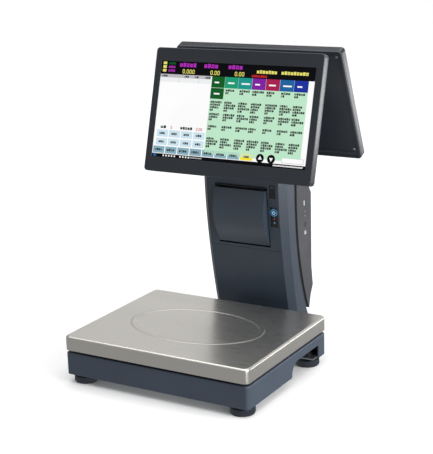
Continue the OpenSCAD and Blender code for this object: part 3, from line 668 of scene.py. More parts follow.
def add_piece(
    name: str,
    bm: Mesh,
    body: str,
    finishes: Sequence[Finish],
    replaces: Sequence[str] = (),
    smooth_deg: float = 38.0,
    sheet_mm: float = 0.0,
) -> bpy.types.Object:
    """Turns a finished mesh into a piece that rides on a body.

    Args:
        name: The piece's name.
        bm: Its mesh in metres, in the frame. It is freed.
        body: The CAD body that it moves with.
        finishes: Finishes for its material numbers, in order.
        replaces: CAD nodes that it stands for.
        smooth_deg: Faces that meet at less than this angle are shaded as one.
        sheet_mm: Thickness of the wall, where the mesh is one skin of a sheet.

    Returns:
        The new object.
    """
    mesh = bpy.data.meshes.new(name)
    bm.to_mesh(mesh)
    bm.free()
    mesh.shade_smooth()
    mesh.set_sharp_from_angle(angle=math.radians(smooth_deg))
    piece = place_object(name, mesh)
    for finish in finishes:
        mesh.materials.append(finish.material())
    if sheet_mm:
        wall = piece.modifiers.new("Sheet", "SOLIDIFY")
        wall.thickness = sheet_mm * MM
        wall.offset = -1.0
    normals = piece.modifiers.new("Flat faces stay flat", "WEIGHTED_NORMAL")
    normals.keep_sharp = True
    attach(piece, body)
    if replaces:
        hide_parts(*replaces)
    LOG.info("%s: %d faces on %s", name, len(mesh.polygons), body)
    return piece


def cad_copy(node: str) -> Mesh:
    """Copies a CAD node's mesh, merges its loose triangles and joins its flat faces.

    Args:
        node: The CAD node's name.

    Returns:
        The copy, in metres.
    """
    bm = bmesh.new()
    bm.from_mesh(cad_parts[node].data)
    bmesh.ops.remove_doubles(bm, verts=bm.verts, dist=0.002 * MM)
    flat = math.radians(0.25)
    bmesh.ops.dissolve_limit(bm, angle_limit=flat, verts=bm.verts, edges=bm.edges)
    return bm


def round_edges(
    bm: Mesh,
    width_mm: float,
    segments: int = 2,
    min_deg: float = 30.0,
    where: Callable[[Vector], bool] | None = None,
    to_local: Matrix | None = None,
) -> None:
    """Bevels the edges whose faces meet sharply.

    Args:
        bm: The mesh to change.
        width_mm: Width of the rounding in millimetres.
        segments: How many strips the rounding has.
        min_deg: Edges flatter than this stay.
        where: Says whether an edge with this middle is rounded.
        to_local: Takes the mesh's coordinates to those that `where` reads.
    """
    back = to_local or Matrix.Identity(4)
    flattest = math.radians(min_deg)
    chosen = []
    for edge in bm.edges:
        if len(edge.link_faces) != 2 or edge.calc_face_angle(0.0) <= flattest:
            continue
        middle = back @ ((edge.verts[0].co + edge.verts[1].co) / 2)
        if where is None or where(middle):
            chosen.append(edge)
    if chosen:
        bevel(bm, chosen, width_mm * MM, segments, clamp=True)


def soften(
    node: str,
    body: str,
    finish: Finish,
    width_mm: float,
    segments: int = 2,
    min_deg: float = 30.0,
) -> bpy.types.Object:
    """Replaces a CAD node by a copy with rounded edges, as a moulding has.

    Args:
        node: The CAD node's name.
        body: The body it rides on.
        finish: Its finish.
        width_mm: Width of the rounding.
        segments: How many strips the rounding has.
        min_deg: Edges flatter than this stay.

    Returns:
        The new piece.
    """
    bm = cad_copy(node)
    round_edges(bm, width_mm, segments, min_deg)
    return add_piece(f"{node}_moulding", bm, body, [finish], [node])


def block(
    bm: Mesh, low: Sequence[float], high: Sequence[float], material: int = 0
) -> list[Vert]:
    """Adds a box to a mesh.

    Args:
        bm: The mesh to add to.
        low: The box's lowest corner.
        high: The box's highest corner.
        material: The material number of its faces.

    Returns:
        The box's vertices.
    """
    a, b = Vector(low), Vector(high)
    place = Matrix.Translation((a + b) / 2) @ Matrix.Diagonal((*(b - a), 1.0))
    made = bmesh.ops.create_cube(bm, size=1.0, matrix=place)["verts"]
    for face in faces_of(made):
        face.material_index = material
    return made


def disc(
    bm: Mesh,
    middle: Sequence[float],
    radius: float,
    length: float,
    along: str,
    material: int = 0,
    segments: int = 32,
    tip: float = 1.0,
) -> list[Vert]:
    """Adds a round bar or cone to a mesh, centred on a point.

    Args:
        bm: The mesh to add to.
        middle: The bar's middle.
        radius: Its radius at the low end.
        length: Its length.
        along: The axis it lies along, "X", "Y" or "Z".
        material: The material number of its faces.
        segments: Its number of sides.
        tip: The radius at the high end, as a share of the other.

    Returns:
        The bar's vertices.
    """
    turns = {
        "X": Matrix.Rotation(math.pi / 2, 4, "Y"),
        "Y": Matrix.Rotation(-math.pi / 2, 4, "X"),
        "Z": Matrix.Identity(4),
    }
    made = bmesh.ops.create_cone(
        bm,
        cap_ends=True,
        segments=segments,
        radius1=radius,
        radius2=radius * tip,
        depth=length,
        matrix=Matrix.Translation(middle) @ turns[along],
    )["verts"]
    for face in faces_of(made):
        face.material_index = material
    return made


def own_box(node: str) -> tuple[Vector, Vector]:
    """Gives the lowest and highest corner of a CAD node's box, in the classes' millimetres."""
    back = TO_FRAME.inverted()
    low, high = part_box(node)
    return back @ low, back @ high


def unwrap_along_grain(bm: Mesh) -> None:
    """Gives every face a UV in metres, with U along the sheet's brushing.

    Args:
        bm: The mesh to unwrap.
    """
    layer = bm.loops.layers.uv.new(GRAIN_MAP)
    bm.normal_update()
    for face in bm.faces:
        n = [abs(c) for c in face.normal]
        for loop in face.loops:
            x, y, z = loop.vert.co
            if n[2] >= max(n[0], n[1]):
                loop[layer].uv = (x, y)
            elif n[1] >= n[0]:
                loop[layer].uv = (x, z)
            else:
                loop[layer].uv = (y, z)


def cad_finish(finish: Finish, *names: str) -> None:
    """Gives a finish to CAD nodes that are kept as they are.

    Args:
        finish: The finish.
        names: The nodes' names.
    """
    for name in names:
        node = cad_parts[name]
        node.data.materials.clear()
        node.data.materials.append(finish.material())
        LOG.info("%s keeps its CAD shape in %s", name, finish.name)


def face_y(z: float) -> float:
    """Gives the depth of the column's curved front face.

    Args:
        z: Height above the counter, in millimetres.

    Returns:
        Its Y in millimetres.
    """
    return 189.0 + 45.0 * (max(0.0, 345.0 - z) / 305.0) ** 1.7


# ---------------------------------------------------------------- weighing base


@dataclass
class WeighingBase:
    """Platter, base housing, feet and the weighing gear under the platter."""

    corner: float = 12.0
    edge: float = 5.0
    sheet: float = 1.2
    skirt: float = 27.5
    top_z: float = 95.0
    oval: tuple[float, float] = (134.5, 87.5)
    bead_half: float = 5.2
    bead_h: float = 0.6
    stud_r: float = 5.2
    stud_z: float = 12.5
    feet: dict[str, str] = field(
        default_factory=lambda: {
            f"foot_{row}_{side}": f"{side}_{row}_foot"
            for row in ("front", "rear", "arm")
            for side in ("left", "right")
        }
    )

    def build(self) -> None:
        """Builds all pieces of the base."""
        self.platter()
        self.housing()
        self.all_feet()
        pads = [f"pad_{name.removeprefix('foot_')}" for name in self.feet]
        cad_finish(STEEL, "chassis_plate", "load_cell_mount", "cell_spacer")
        cad_finish(CAST_ALUMINIUM, "load_cell")
        cad_finish(RUBBER, "spider_pads", *pads)
        cad_finish(ZINC, "overload_stops", "chassis_screws")
        # The nuts are near black, partly painted shade under the base.
        cad_finish(BLACK_ZINC, "foot_nuts")
        soften("spider", "weighing_spider", CAST_ALUMINIUM, 1.2)

    def platter(self) -> None:
        """Builds the pressed stainless platter: rolled edges, skirt and oval bead."""
        low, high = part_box("platter")
        w, d = (high.x - low.x) / MM, (high.y - low.y) / MM
        bm = bmesh.new()
        block(bm, (-w / 2, -d / 2, self.top_z - self.skirt), (w / 2, d / 2, self.top_z))
        bm.normal_update()
        under = [f for f in bm.faces if f.normal.z < -SQUARE]
        bmesh.ops.delete(bm, geom=under, context="FACES_ONLY")
        bevel(bm, edges_along(bm.edges, 2), self.corner, 8)
        bevel(bm, level_edges(bm.edges, 2, self.top_z), self.edge, 5)
        self.bead(bm)
        bm.transform(TO_FRAME)
        unwrap_along_grain(bm)
        add_piece(
            "platter_sheet", bm, "platter_cover", [STAINLESS], ["platter"],
            sheet_mm=self.sheet,
        )

    def bead(self, bm: Mesh) -> None:
        """Presses the oval bead into the platter's top as a smooth low ridge.

        Args:
            bm: The platter's mesh, in millimetres.
        """
        # It is spun as a ring of a metre, clear of the platter, and then bent to the oval.
        ring, steps, lift = 1000.0, 8, 0.01
        half_w, half_d = self.oval
        section = []
        for i in range(steps + 1):
            out = self.bead_half * (2 * i / steps - 1)
            rise = self.bead_h / 2 * (1 + math.cos(math.pi * out / self.bead_half))
            section.append(bm.verts.new((ring + out, 0.0, self.top_z + rise + lift)))
        links = [bm.edges.new(pair) for pair in zip(section, section[1:])]
        before = set(bm.verts) - set(section)
        bmesh.ops.spin(
            bm, geom=section + links, cent=(0, 0, 0), axis=(0, 0, 1),
            angle=2 * math.pi, steps=144, use_merge=True, dvec=(0, 0, 0),
        )
        made = [v for v in bm.verts if v not in before]
        for vert in made:
            turn = math.atan2(vert.co.y, vert.co.x)
            out = math.hypot(vert.co.x, vert.co.y) - ring
            normal = Vector((math.cos(turn) / half_w, math.sin(turn) / half_d)).normalized()
            vert.co.x = half_w * math.cos(turn) + normal.x * out
            vert.co.y = half_d * math.sin(turn) + normal.y * out
        faces = faces_of(made)
        bmesh.ops.recalc_face_normals(bm, faces=faces)
        for face in faces:
            if face.normal.z < 0:
                face.normal_flip()

    def housing(self) -> None:
        """Rounds the base housing and the arm that runs back under the column."""
        soften("base_housing", "base", BASE_ABS, 0.9, 3, 40.0)
        soften("rear_arm", "base", BASE_ABS, 0.8)

    def all_feet(self) -> None:
        """Builds the six levelling feet, with softened knurling and a near-black stud, partly
        painted shade under the base.
        """
        for node, body in self.feet.items():
            bm = cad_copy(node)
            low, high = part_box(node)
            x, y = (low.x + high.x) / 2, (low.y + high.y) / 2
            # The stud's faces take the near-black plating, partly painted shade under the base.
            for face in bm.faces:
                middle = face.calc_center_median()
                away = math.hypot(middle.x - x, middle.y - y)
                if away < self.stud_r * MM and middle.z > self.stud_z * MM:
                    face.material_index = 1
            round_edges(bm, 0.3, 1, 50.0)
            add_piece(f"{node}_knurled", bm, body, [FOOT_NYLON, BLACK_ZINC], [node])


# ---------------------------------------------------------------- column and printer


@dataclass
class Column:
    """The curved column: front shell, trim, rear housing, ports and inlet."""

    jack_y: float = 282.0
    jack_zs: tuple[float, float] = (221.0, 238.6)
    lamp_zs: tuple[float, float] = (256.0, 266.0)
    side_x: float = 94.5
    tongue: tuple[float, float] = (1.7, 5.3)
    tongue_z: float = 283.0
    tongue_half: float = 5.0
    pipe_r: float = 1.1
    pipe_len: float = 3.0
    pipe_proud: float = -0.1

    def build(self) -> None:
        """Builds all pieces of the column."""
        soften("column_shell", "base", COLUMN_ABS, 1.0, 2, 35.0)
        soften("head_housing", "base", COLUMN_ABS, 1.5, 3, 35.0)
        soften("rear_housing", "base", HOUSING_ABS, 0.8, 2, 35.0)
        soften("printer_panel", "base", COLUMN_ABS, 0.5, 2, 40.0)
        soften("power_inlet", "base", NYLON, 0.5)
        self.port_details()
        cad_finish(STEEL, "column_frame", "tilt_brackets")
        cad_finish(TRIM_ABS, "column_trim")
        cad_finish(CIRCUIT_BOARD, "main_board")
        cad_finish(CASE_STEEL, "power_supply")
        cad_finish(NICKEL, "port_block")
        cad_finish(ZINC, "tilt_pins")

    def port_details(self) -> None:
        """Adds the light pipes, the tongue of the data port and the collars of the jacks."""
        bm = bmesh.new()
        x = self.side_x + self.pipe_proud - self.pipe_len / 2
        for z in self.lamp_zs:
            disc(bm, (x, self.jack_y, z), self.pipe_r, self.pipe_len, "X", segments=20)
        bm.transform(TO_FRAME)
        round_edges(bm, 0.3, 2)
        add_piece("port_light_pipes", bm, "base", [IVORY_ACETAL])
        low, high = own_box("port_block")
        y0, y1 = (low.y + y for y in self.tongue)
        z0, z1 = self.tongue_z - self.tongue_half, self.tongue_z + self.tongue_half
        bm = bmesh.new()
        block(bm, (high.x - 8, y0, z0), (high.x - 0.6, y1, z1))
        bm.transform(TO_FRAME)
        round_edges(bm, 0.4, 2)
        add_piece("data_port_tongue", bm, "base", [IVORY_ACETAL])
        self.collar("lower_jack_collar", self.jack_zs[0], 3.3, 0.8, IVORY_ACETAL)
        self.collar("upper_jack_collar", self.jack_zs[1], 4.4, 1.1, GLOSS_PC)

    def collar(
        self, name: str, z: float, radius: float, thick: float, finish: Finish
    ) -> None:
        """Sets a round collar about a jack in the housing's side.

        Args:
            name: The piece's name.
            z: Height of the jack's axis.
            radius: Radius of the collar's middle line.
            thick: Radius of its round section.
            finish: Its finish.
        """
        bm = bmesh.new()
        ring = bmesh.ops.create_circle(
            bm, segments=12, radius=thick,
            matrix=Matrix.Translation((self.side_x - thick / 2, self.jack_y, z + radius))
            @ Matrix.Rotation(math.pi / 2, 4, "Y") @ Matrix.Rotation(math.pi / 2, 4, "X"),
        )["verts"]
        bmesh.ops.spin(
            bm, geom=ring + edges_of(ring), cent=(self.side_x, self.jack_y, z),
            axis=(1, 0, 0), angle=2 * math.pi, steps=40, use_merge=True, dvec=(0, 0, 0),
        )
        bmesh.ops.recalc_face_normals(bm, faces=bm.faces)
        bm.transform(TO_FRAME)
        add_piece(name, bm, "base", [finish])


@dataclass
class Printer:
    """Label printer: door, paper, tear bar, latch, power button and status lenses."""

    tooth: float = 2.0
    tooth_deep: float = 1.2
    tooth_strip: float = 1.8
    tooth_thick: float = 0.6
    latch_x: float = 67.55
    latch_w: float = 13.9
    latch_z: float = 324.0
    rib_inset: float = 2.2
    rib_pitch: float = 3.4
    lowest_rib: float = -7.5
    label_z: float = 8.2
    bezel_x: float = 69.5
    button_z: float = 280.5
    button_r: float = 5.8
    symbol_rs: tuple[float, float] = (2.4, 3.6)
    symbol_gap: float = math.radians(60)
    lens_zs: tuple[float, float] = (267.7, 259.2)
    lens_r: float = 1.6

    def build(self) -> None:
        """Builds all pieces of the printer."""
        soften("printer_door", "door", DOOR_ABS, 2.0, 4, 40.0)
        soften("platen_roller", "platen", RUBBER, 0.5)
        soften("paper_roll", "paper", THERMAL_PAPER, 0.3)
        soften("control_bezel", "base", GLOSS_PC, 0.4, 2, 40.0)
        soften("printer_bucket", "base", NYLON, 0.4, 1, 60.0)
        soften("print_head", "base", GROUND_STEEL, 0.4)
        self.tear_bar()
        self.latch()
        self.button()
        self.lenses()
        cad_finish(CORE_BOARD, "paper_core")
        cad_finish(ZINC, "paper_spindle", "door_pin")

    def tear_bar(self) -> None:
        """Builds the tear bar with its row of teeth along the front edge."""
        a, b = own_box("tear_bar")
        bm = bmesh.new()
        block(bm, (a.x, a.y + 1.4, a.z), b)
        count = int((b.x - a.x) / self.tooth)
        step = (b.x - a.x) / count
        bmesh.ops.create_grid(
            bm, x_segments=2 * count, y_segments=1, size=0.5,
            matrix=Matrix.Translation(((a.x + b.x) / 2, a.y + self.tooth_strip / 2, b.z))
            @ Matrix.Diagonal((b.x - a.x, self.tooth_strip, 1.0, 1.0)),
        )
        for vert in bm.verts:
            if abs(vert.co.y - a.y) < ON_PLANE and abs(vert.co.z - b.z) < ON_PLANE:
                if round((vert.co.x - a.x) / (step / 2)) % 2 == 0:
                    vert.co.y += self.tooth_deep
        teeth = [f for f in bm.faces if len(f.verts) == 4 and f.calc_area() < 4]
        grown = bmesh.ops.extrude_face_region(bm, geom=teeth)["geom"]
        lower = [g for g in grown if isinstance(g, Vert)]
        bmesh.ops.translate(bm, vec=(0, 0, -self.tooth_thick), verts=lower)
        bmesh.ops.recalc_face_normals(bm, faces=bm.faces)
        bm.transform(TO_FRAME)
        # The bar's near-black colour is partly painted shade of the exit slot below it.
        add_piece("tear_bar_toothed", bm, "base", [BLACK_OXIDE], ["tear_bar"])

    def latch(self) -> None:
        """Builds the release latch with its finger ribs."""
        bm = cad_copy("release_latch")
        round_edges(bm, 0.7, 2)
        bm.transform(TO_FRAME.inverted())
        half = self.latch_w / 2 - self.rib_inset
        left, right = self.latch_x - half, self.latch_x + half
        for i in range(4):
            z = self.latch_z + self.lowest_rib + self.rib_pitch * i
            front = face_y(z) + 2.0
            rib = block(bm, (left, front - 0.9, z - 0.7), (right, front + 0.6, z + 0.7))
            bevel(bm, edges_of(rib), 0.45, 2)
        top = self.latch_z + self.label_z
        block(
            bm,
            (self.latch_x - 3.2, face_y(top) + 1.7, top - 1.6),
            (self.latch_x + 3.2, face_y(top) + 2.3, top + 1.6),
            1,
        )
        bm.transform(TO_FRAME)
        add_piece("release_latch_ribbed", bm, "latch", [GLOSS_PC, BASE_ABS], ["release_latch"])

    def button(self) -> None:
        """Builds the power button: crowned cap, light ring and lit symbol."""
        front = face_y(self.button_z)
        bm = cad_copy("button_ring")
        round_edges(bm, 0.35, 2)
        add_piece("button_light_ring", bm, "base", [RING_LIGHT], ["button_ring"])
        bm = bmesh.new()
        disc(bm, (self.bezel_x, front + 4.5, self.button_z), self.button_r, 9.0, "Y", segments=48)
        face = [f for f in bm.faces if f.normal.y < -SQUARE]
        bmesh.ops.inset_region(bm, faces=face, thickness=0.7, depth=0.0)
        outer = [
            edge
            for edge in level_edges(bm.edges, 1, front)
            if all(abs(self.from_button(v) - self.button_r) < 0.05 for v in edge.verts)
        ]
        bevel(bm, outer, 0.5, 2)
        self.power_symbol(bm, front - 0.06)
        bm.transform(TO_FRAME)
        add_piece("power_button_cap", bm, "button", [GLOSS_PC, RING_GLINT], ["power_button"])

    def from_button(self, vert: Vert) -> float:
        """Gives a point's distance from the button's axis."""
        return math.hypot(vert.co.x - self.bezel_x, vert.co.z - self.button_z)

    def power_symbol(self, bm: Mesh, y: float) -> None:
        """Lays the power symbol, an open ring and a bar, on the button.

        Args:
            bm: The button's mesh, in millimetres.
            y: Depth of the symbol's face.
        """
        axis = (self.bezel_x, 0, self.button_z)
        ends = [bm.verts.new((self.bezel_x + r, y, self.button_z)) for r in self.symbol_rs]
        bmesh.ops.spin(
            bm, geom=[*ends, bm.edges.new(ends)], cent=axis, axis=(0, 1, 0),
            angle=2 * math.pi - self.symbol_gap, steps=30, use_merge=False, dvec=(0, 0, 0),
        )
        ring = [f for f in bm.faces if all(abs(v.co.y - y) < ON_PLANE / 2 for v in f.verts)]
        for face in ring:
            face.material_index = 1
        bmesh.ops.rotate(
            bm, verts=list({v for f in ring for v in f.verts}), cent=axis,
            matrix=Matrix.Rotation(-self.symbol_gap, 3, "Y"),
        )
        block(
            bm,
            (self.bezel_x - 0.55, y, self.button_z + 1.0),
            (self.bezel_x + 0.55, y + 0.36, self.button_z + 4.2),
            1,
        )

    def lenses(self) -> None:
        """Builds the two domed status lenses, red above pale blue."""
        for name, z, finish in (
            ("red", self.lens_zs[0], RED_LENS),
            ("pale", self.lens_zs[1], PALE_LENS),
        ):
            bm = bmesh.new()
            bmesh.ops.create_uvsphere(
                bm, u_segments=24, v_segments=12, radius=self.lens_r,
                matrix=Matrix.Translation((self.bezel_x, face_y(z) + 1.6, z))
                @ Matrix.Diagonal((1.0, 0.62, 1.0, 1.0)),
            )
            bm.transform(TO_FRAME)
            add_piece(f"status_lens_{name}", bm, "base", [finish], ["status_lenses"])


# ---------------------------------------------------------------- displays


class Side(Enum):
    """The side of the scale that a display faces."""

    FRONT = "front"
    REAR = "rear"


@dataclass
class ScreenPicture:
    """The lit picture of a display, laid out in shares of its width and height."""

    width: float = 344.2
    height: float = 193.6
    depth: float = 1.5
    step: float = 0.05
    inks: list[Ink] = field(default_factory=lambda: list(Ink))
    bm: Mesh = field(default_factory=bmesh.new)

    def point(self, u: float, v: float, level: float) -> Vector:
        """Gives the place of a point of the picture.

        Args:
            u: Share of the width from the left.
            v: Share of the height from the top.
            level: How many layers it lies above the glass.

        Returns:
            The point in the display's own millimetres.
        """
        y = self.depth - self.step * (level + 1)
        return Vector(((u - 0.5) * self.width, y, (0.5 - v) * self.height))

    def paint(
        self, u0: float, v0: float, u1: float, v1: float, ink: Ink, level: float = 1
    ) -> None:
        """Paints a rectangle.

        Args:
            u0: Left edge.
            v0: Top edge.
            u1: Right edge.
            v1: Lower edge.
            ink: Its colour.
            level: Its layer.
        """
        a, b = self.point(u0, v0, level), self.point(u1, v1, level)
        place = (
            Matrix.Translation((a + b) / 2)
            @ Matrix.Rotation(math.pi / 2, 4, "X")
            @ Matrix.Diagonal((b.x - a.x, a.z - b.z, 1.0, 1.0))
        )
        made = bmesh.ops.create_grid(
            self.bm, x_segments=1, y_segments=1, size=0.5, matrix=place
        )["verts"]
        made[0].link_faces[0].material_index = self.inks.index(ink)

    def round_key(self, u: float, v: float, radius: float, up: bool) -> None:
        """Paints a round black key with a white arrow.

        Args:
            u: Its middle, across.
            v: Its middle, down.
            radius: Its radius in millimetres.
            up: Whether the arrow points up.
        """
        turn = Matrix.Rotation(math.pi / 2, 4, "X")
        for level, size, sides, ink, spin in (
            (3, radius, 28, Ink.BLACK, 0.0),
            (4, radius * 0.55, 3, Ink.WHITE, 0.0 if up else math.pi),
        ):
            made = bmesh.ops.create_circle(
                self.bm, cap_ends=True, segments=sides, radius=size,
                matrix=Matrix.Translation(self.point(u, v, level)) @ turn
                @ Matrix.Rotation(spin, 4, "Z"),
            )["verts"]
            made[0].link_faces[0].material_index = self.inks.index(ink)

    def words(
        self, u0: float, v: float, u1: float, height: float, ink: Ink, seed: int = 0
    ) -> None:
        """Paints a row of small blocks in place of a line of words.

        Args:
            u0: Where the row starts.
            v: Its middle, down.
            u1: Where the row ends.
            height: Share of the height that it takes.
            ink: Its colour.
            seed: Changes the row's rhythm.
        """
        cell = height * self.height / self.width
        count = max(1, round((u1 - u0) / cell))
        for i in range(count):
            left = u0 + (u1 - u0) * i / count
            right = u0 + (u1 - u0) * (i + 0.82) / count
            low = 0.36 + 0.14 * ((i * 5 + seed * 3) % 3) / 2
            self.paint(left, v - height * low, right, v + height * 0.46, ink, 3)
            if (i + seed) % 3 == 0:
                middle = (left + right) / 2
                self.paint(
                    middle - cell * 0.07, v - height * 0.2, middle + cell * 0.07,
                    v + height * 0.25, Ink.WHITE if ink is Ink.INK else Ink.BLACK, 4,
                )

    def zeros(self, u: float, v: float, height: float, form: str, ink: Ink) -> float:
        """Paints a number made of noughts and a point.

        Args:
            u: Where it starts.
            v: Its middle, down.
            height: Share of the height that it takes.
            form: The number, such as "0.00".
            ink: Its colour.

        Returns:
            Where the number ends, across.
        """
        wide = height * 0.62 * self.height / self.width
        bar = wide * 0.26
        tall = bar * self.width / self.height
        for sign in form:
            if sign == "0":
                for left in (u, u + wide - bar):
                    self.paint(
                        left, v - height / 2 + tall * 0.7, left + bar,
                        v + height / 2 - tall * 0.7, ink, 3,
                    )
                for top in (v - height / 2, v + height / 2 - tall):
                    self.paint(u + bar * 0.7, top, u + wide - bar * 0.7, top + tall, ink, 3)
                u += wide * 1.25
            else:
                self.paint(u, v + height / 2 - tall, u + bar, v + height / 2, ink, 3)
                u += wide * 0.5
        return u

    def operator_view(self) -> None:
        """Paints the operator's picture: header, list, keys and the grid of goods."""
        self.paint(0, 0, 1, 1, Ink.BLACK, 0)
        self.paint(0, 0.135, 1, 0.962, Ink.WHITE)
        for row, label in enumerate((Ink.FOREST, Ink.MAGENTA, Ink.MAGENTA)):
            v = 0.022 + 0.038 * row
            self.paint(0.012, v - 0.014, 0.036, v + 0.014, Ink.YELLOW, 3)
            self.words(0.05, v, 0.098, 0.026, label, row)
        for left, right in ((0.125, 0.24), (0.29, 0.385), (0.45, 0.545)):
            self.words(left, 0.034, right, 0.044, Ink.MAGENTA, 1)
        for left, form in ((0.148, "0.000"), (0.335, "0.00"), (0.495, "0.00")):
            self.zeros(left, 0.1, 0.044, form, Ink.YELLOW)
        self.words(0.635, 0.068, 0.765, 0.034, Ink.YELLOW, 2)
        self.words(0.79, 0.068, 0.96, 0.034, Ink.YELLOW, 1)
        self.words(0.605, 0.112, 0.705, 0.026, Ink.RED)
        self.list_panel()
        self.goods_grid()
        self.key_rows()
        for i in range(9):
            left = 0.075 + 0.019 * i + (0.02 if i > 4 else 0.0)
            self.paint(left, 0.972, left + 0.009, 0.988, Ink.WHITE, 3)
        self.words(0.26, 0.98, 0.34, 0.012, Ink.GREY, 1)
        self.words(0.80, 0.98, 0.985, 0.014, Ink.WHITE, 2)
        self.paint(0.008, 0.968, 0.03, 0.992, Ink.AZURE, 3)

    def list_panel(self) -> None:
        """Paints the list of weighed goods on the left."""
        self.paint(0, 0.135, 0.345, 0.17, Ink.GREY, 2)
        for left, right in ((0.012, 0.05), (0.165, 0.195), (0.235, 0.262), (0.305, 0.34)):
            self.words(left, 0.154, right, 0.02, Ink.INK)
        self.paint(0, 0.172, 0.345, 0.216, Ink.MIST, 2)
        for u in (0.128, 0.262):
            self.paint(u, 0.172, u + 0.002, 0.216, Ink.GREY, 3)
        self.words(0.04, 0.685, 0.08, 0.03, Ink.INK)
        self.zeros(0.108, 0.685, 0.03, "0", Ink.RED)
        self.words(0.175, 0.685, 0.258, 0.03, Ink.INK, 1)
        self.zeros(0.28, 0.685, 0.03, "0.00", Ink.RED)

    def goods_grid(self) -> None:
        """Paints the row of group tiles and the pale grid of goods below it."""
        start, end, head = 0.35, 0.965, 0.135
        self.paint(start, head, end, 0.93, Ink.MINT, 2)
        groups = (
            Ink.FOREST, Ink.JADE, Ink.TEAL, Ink.PURPLE, Ink.CRIMSON, Ink.AZURE, Ink.ROYAL,
        )
        pitch = (end - start) / len(groups)
        tile = pitch * 0.985
        for i, ink in enumerate(groups):
            left = start + pitch * i
            self.paint(left, head, left + tile, 0.248, ink, 3)
            mark = left + 0.02
            self.paint(mark, 0.188, mark + 0.03 + 0.012 * (i % 3), 0.203, Ink.WHITE, 4)
        self.paint(start, 0.252, start + tile, 0.362, Ink.FOREST, 3)
        self.paint(0.372, 0.302, 0.41, 0.317, Ink.WHITE, 4)
        for row in range(5):
            for col in range(7):
                if row == 0 and col == 0:
                    continue
                left = 0.357 + pitch * col + 0.003 * ((row * 3 + col) % 3)
                top = 0.27 + 0.124 * row
                lines = 2 + (row * 5 + col * 3) % 3
                for line in range(lines):
                    share = 0.66 + 0.34 * ((row * 7 + col * 5 + line * 3) % 4) / 3
                    if line == lines - 1:
                        share *= 0.45
                    self.words(
                        left, top + 0.027 * line, left + pitch * 0.86 * share, 0.0235,
                        Ink.INK, row + col + line,
                    )

    def key_rows(self) -> None:
        """Paints the two rows of pale keys, the row of function keys and the page keys."""
        for row, top in enumerate((0.715, 0.802)):
            for col in range(4):
                left = 0.018 + 0.083 * col
                self.paint(left, top, left + 0.076, top + 0.072, Ink.PALE_BLUE, 2)
                self.words(left + 0.018, top + 0.036, left + 0.056, 0.024, Ink.INK, row + col)
        for col in range(7):
            left = 0.004 + 0.0835 * col
            self.paint(left, 0.886, left + 0.078, 0.956, Ink.MID_BLUE, 2)
            self.words(left + 0.012, 0.921, left + 0.064, 0.024, Ink.INK, col)
        self.paint(0.588, 0.886, 0.668, 0.956, Ink.GOLD, 2)
        self.words(0.61, 0.921, 0.646, 0.022, Ink.INK)
        self.paint(0.0, 0.93, 1.0, 0.962, Ink.WHITE, 1)
        self.round_key(0.715, 0.922, 8.6, True)
        self.round_key(0.785, 0.922, 8.6, False)
        self.paint(0.85, 0.898, 0.985, 0.95, Ink.GREY, 2)
        self.paint(0.8525, 0.9025, 0.9825, 0.9455, Ink.WHITE, 3)

    def customer_view(self) -> None:
        """Paints a plain customer's picture: weight and price fields over a calm ground."""
        self.paint(0, 0, 1, 1, Ink.BLACK, 0)
        self.paint(0, 0.0, 1, 0.2, Ink.ROYAL)
        self.paint(0.02, 0.24, 0.58, 0.96, Ink.MINT, 1)
        self.paint(0.61, 0.24, 0.98, 0.96, Ink.WHITE, 1)
        for i, form in enumerate(("0.000", "0.00", "0.00")):
            self.words(0.04 + 0.32 * i, 0.045, 0.12 + 0.32 * i, 0.035, Ink.PALE_BLUE, i)
            self.zeros(0.05 + 0.32 * i, 0.13, 0.09, form, Ink.YELLOW)
        for row in range(9):
            v = 0.29 + 0.07 * row
            self.paint(0.625, v + 0.03, 0.965, v + 0.033, Ink.GREY, 2)
            self.words(0.63, v, 0.72 + 0.02 * (row % 3), 0.026, Ink.INK, row)
            self.zeros(0.9, v, 0.026, "0.00", Ink.INK)
        for row in range(2):
            for col, ink in enumerate((Ink.JADE, Ink.TEAL, Ink.AZURE, Ink.CRIMSON)):
                left, top = 0.05 + 0.13 * col, 0.34 + 0.3 * row
                self.paint(left, top, left + 0.11, top + 0.18, ink, 2)
                self.words(left + 0.015, top + 0.225, left + 0.085, 0.03, Ink.INK, col)


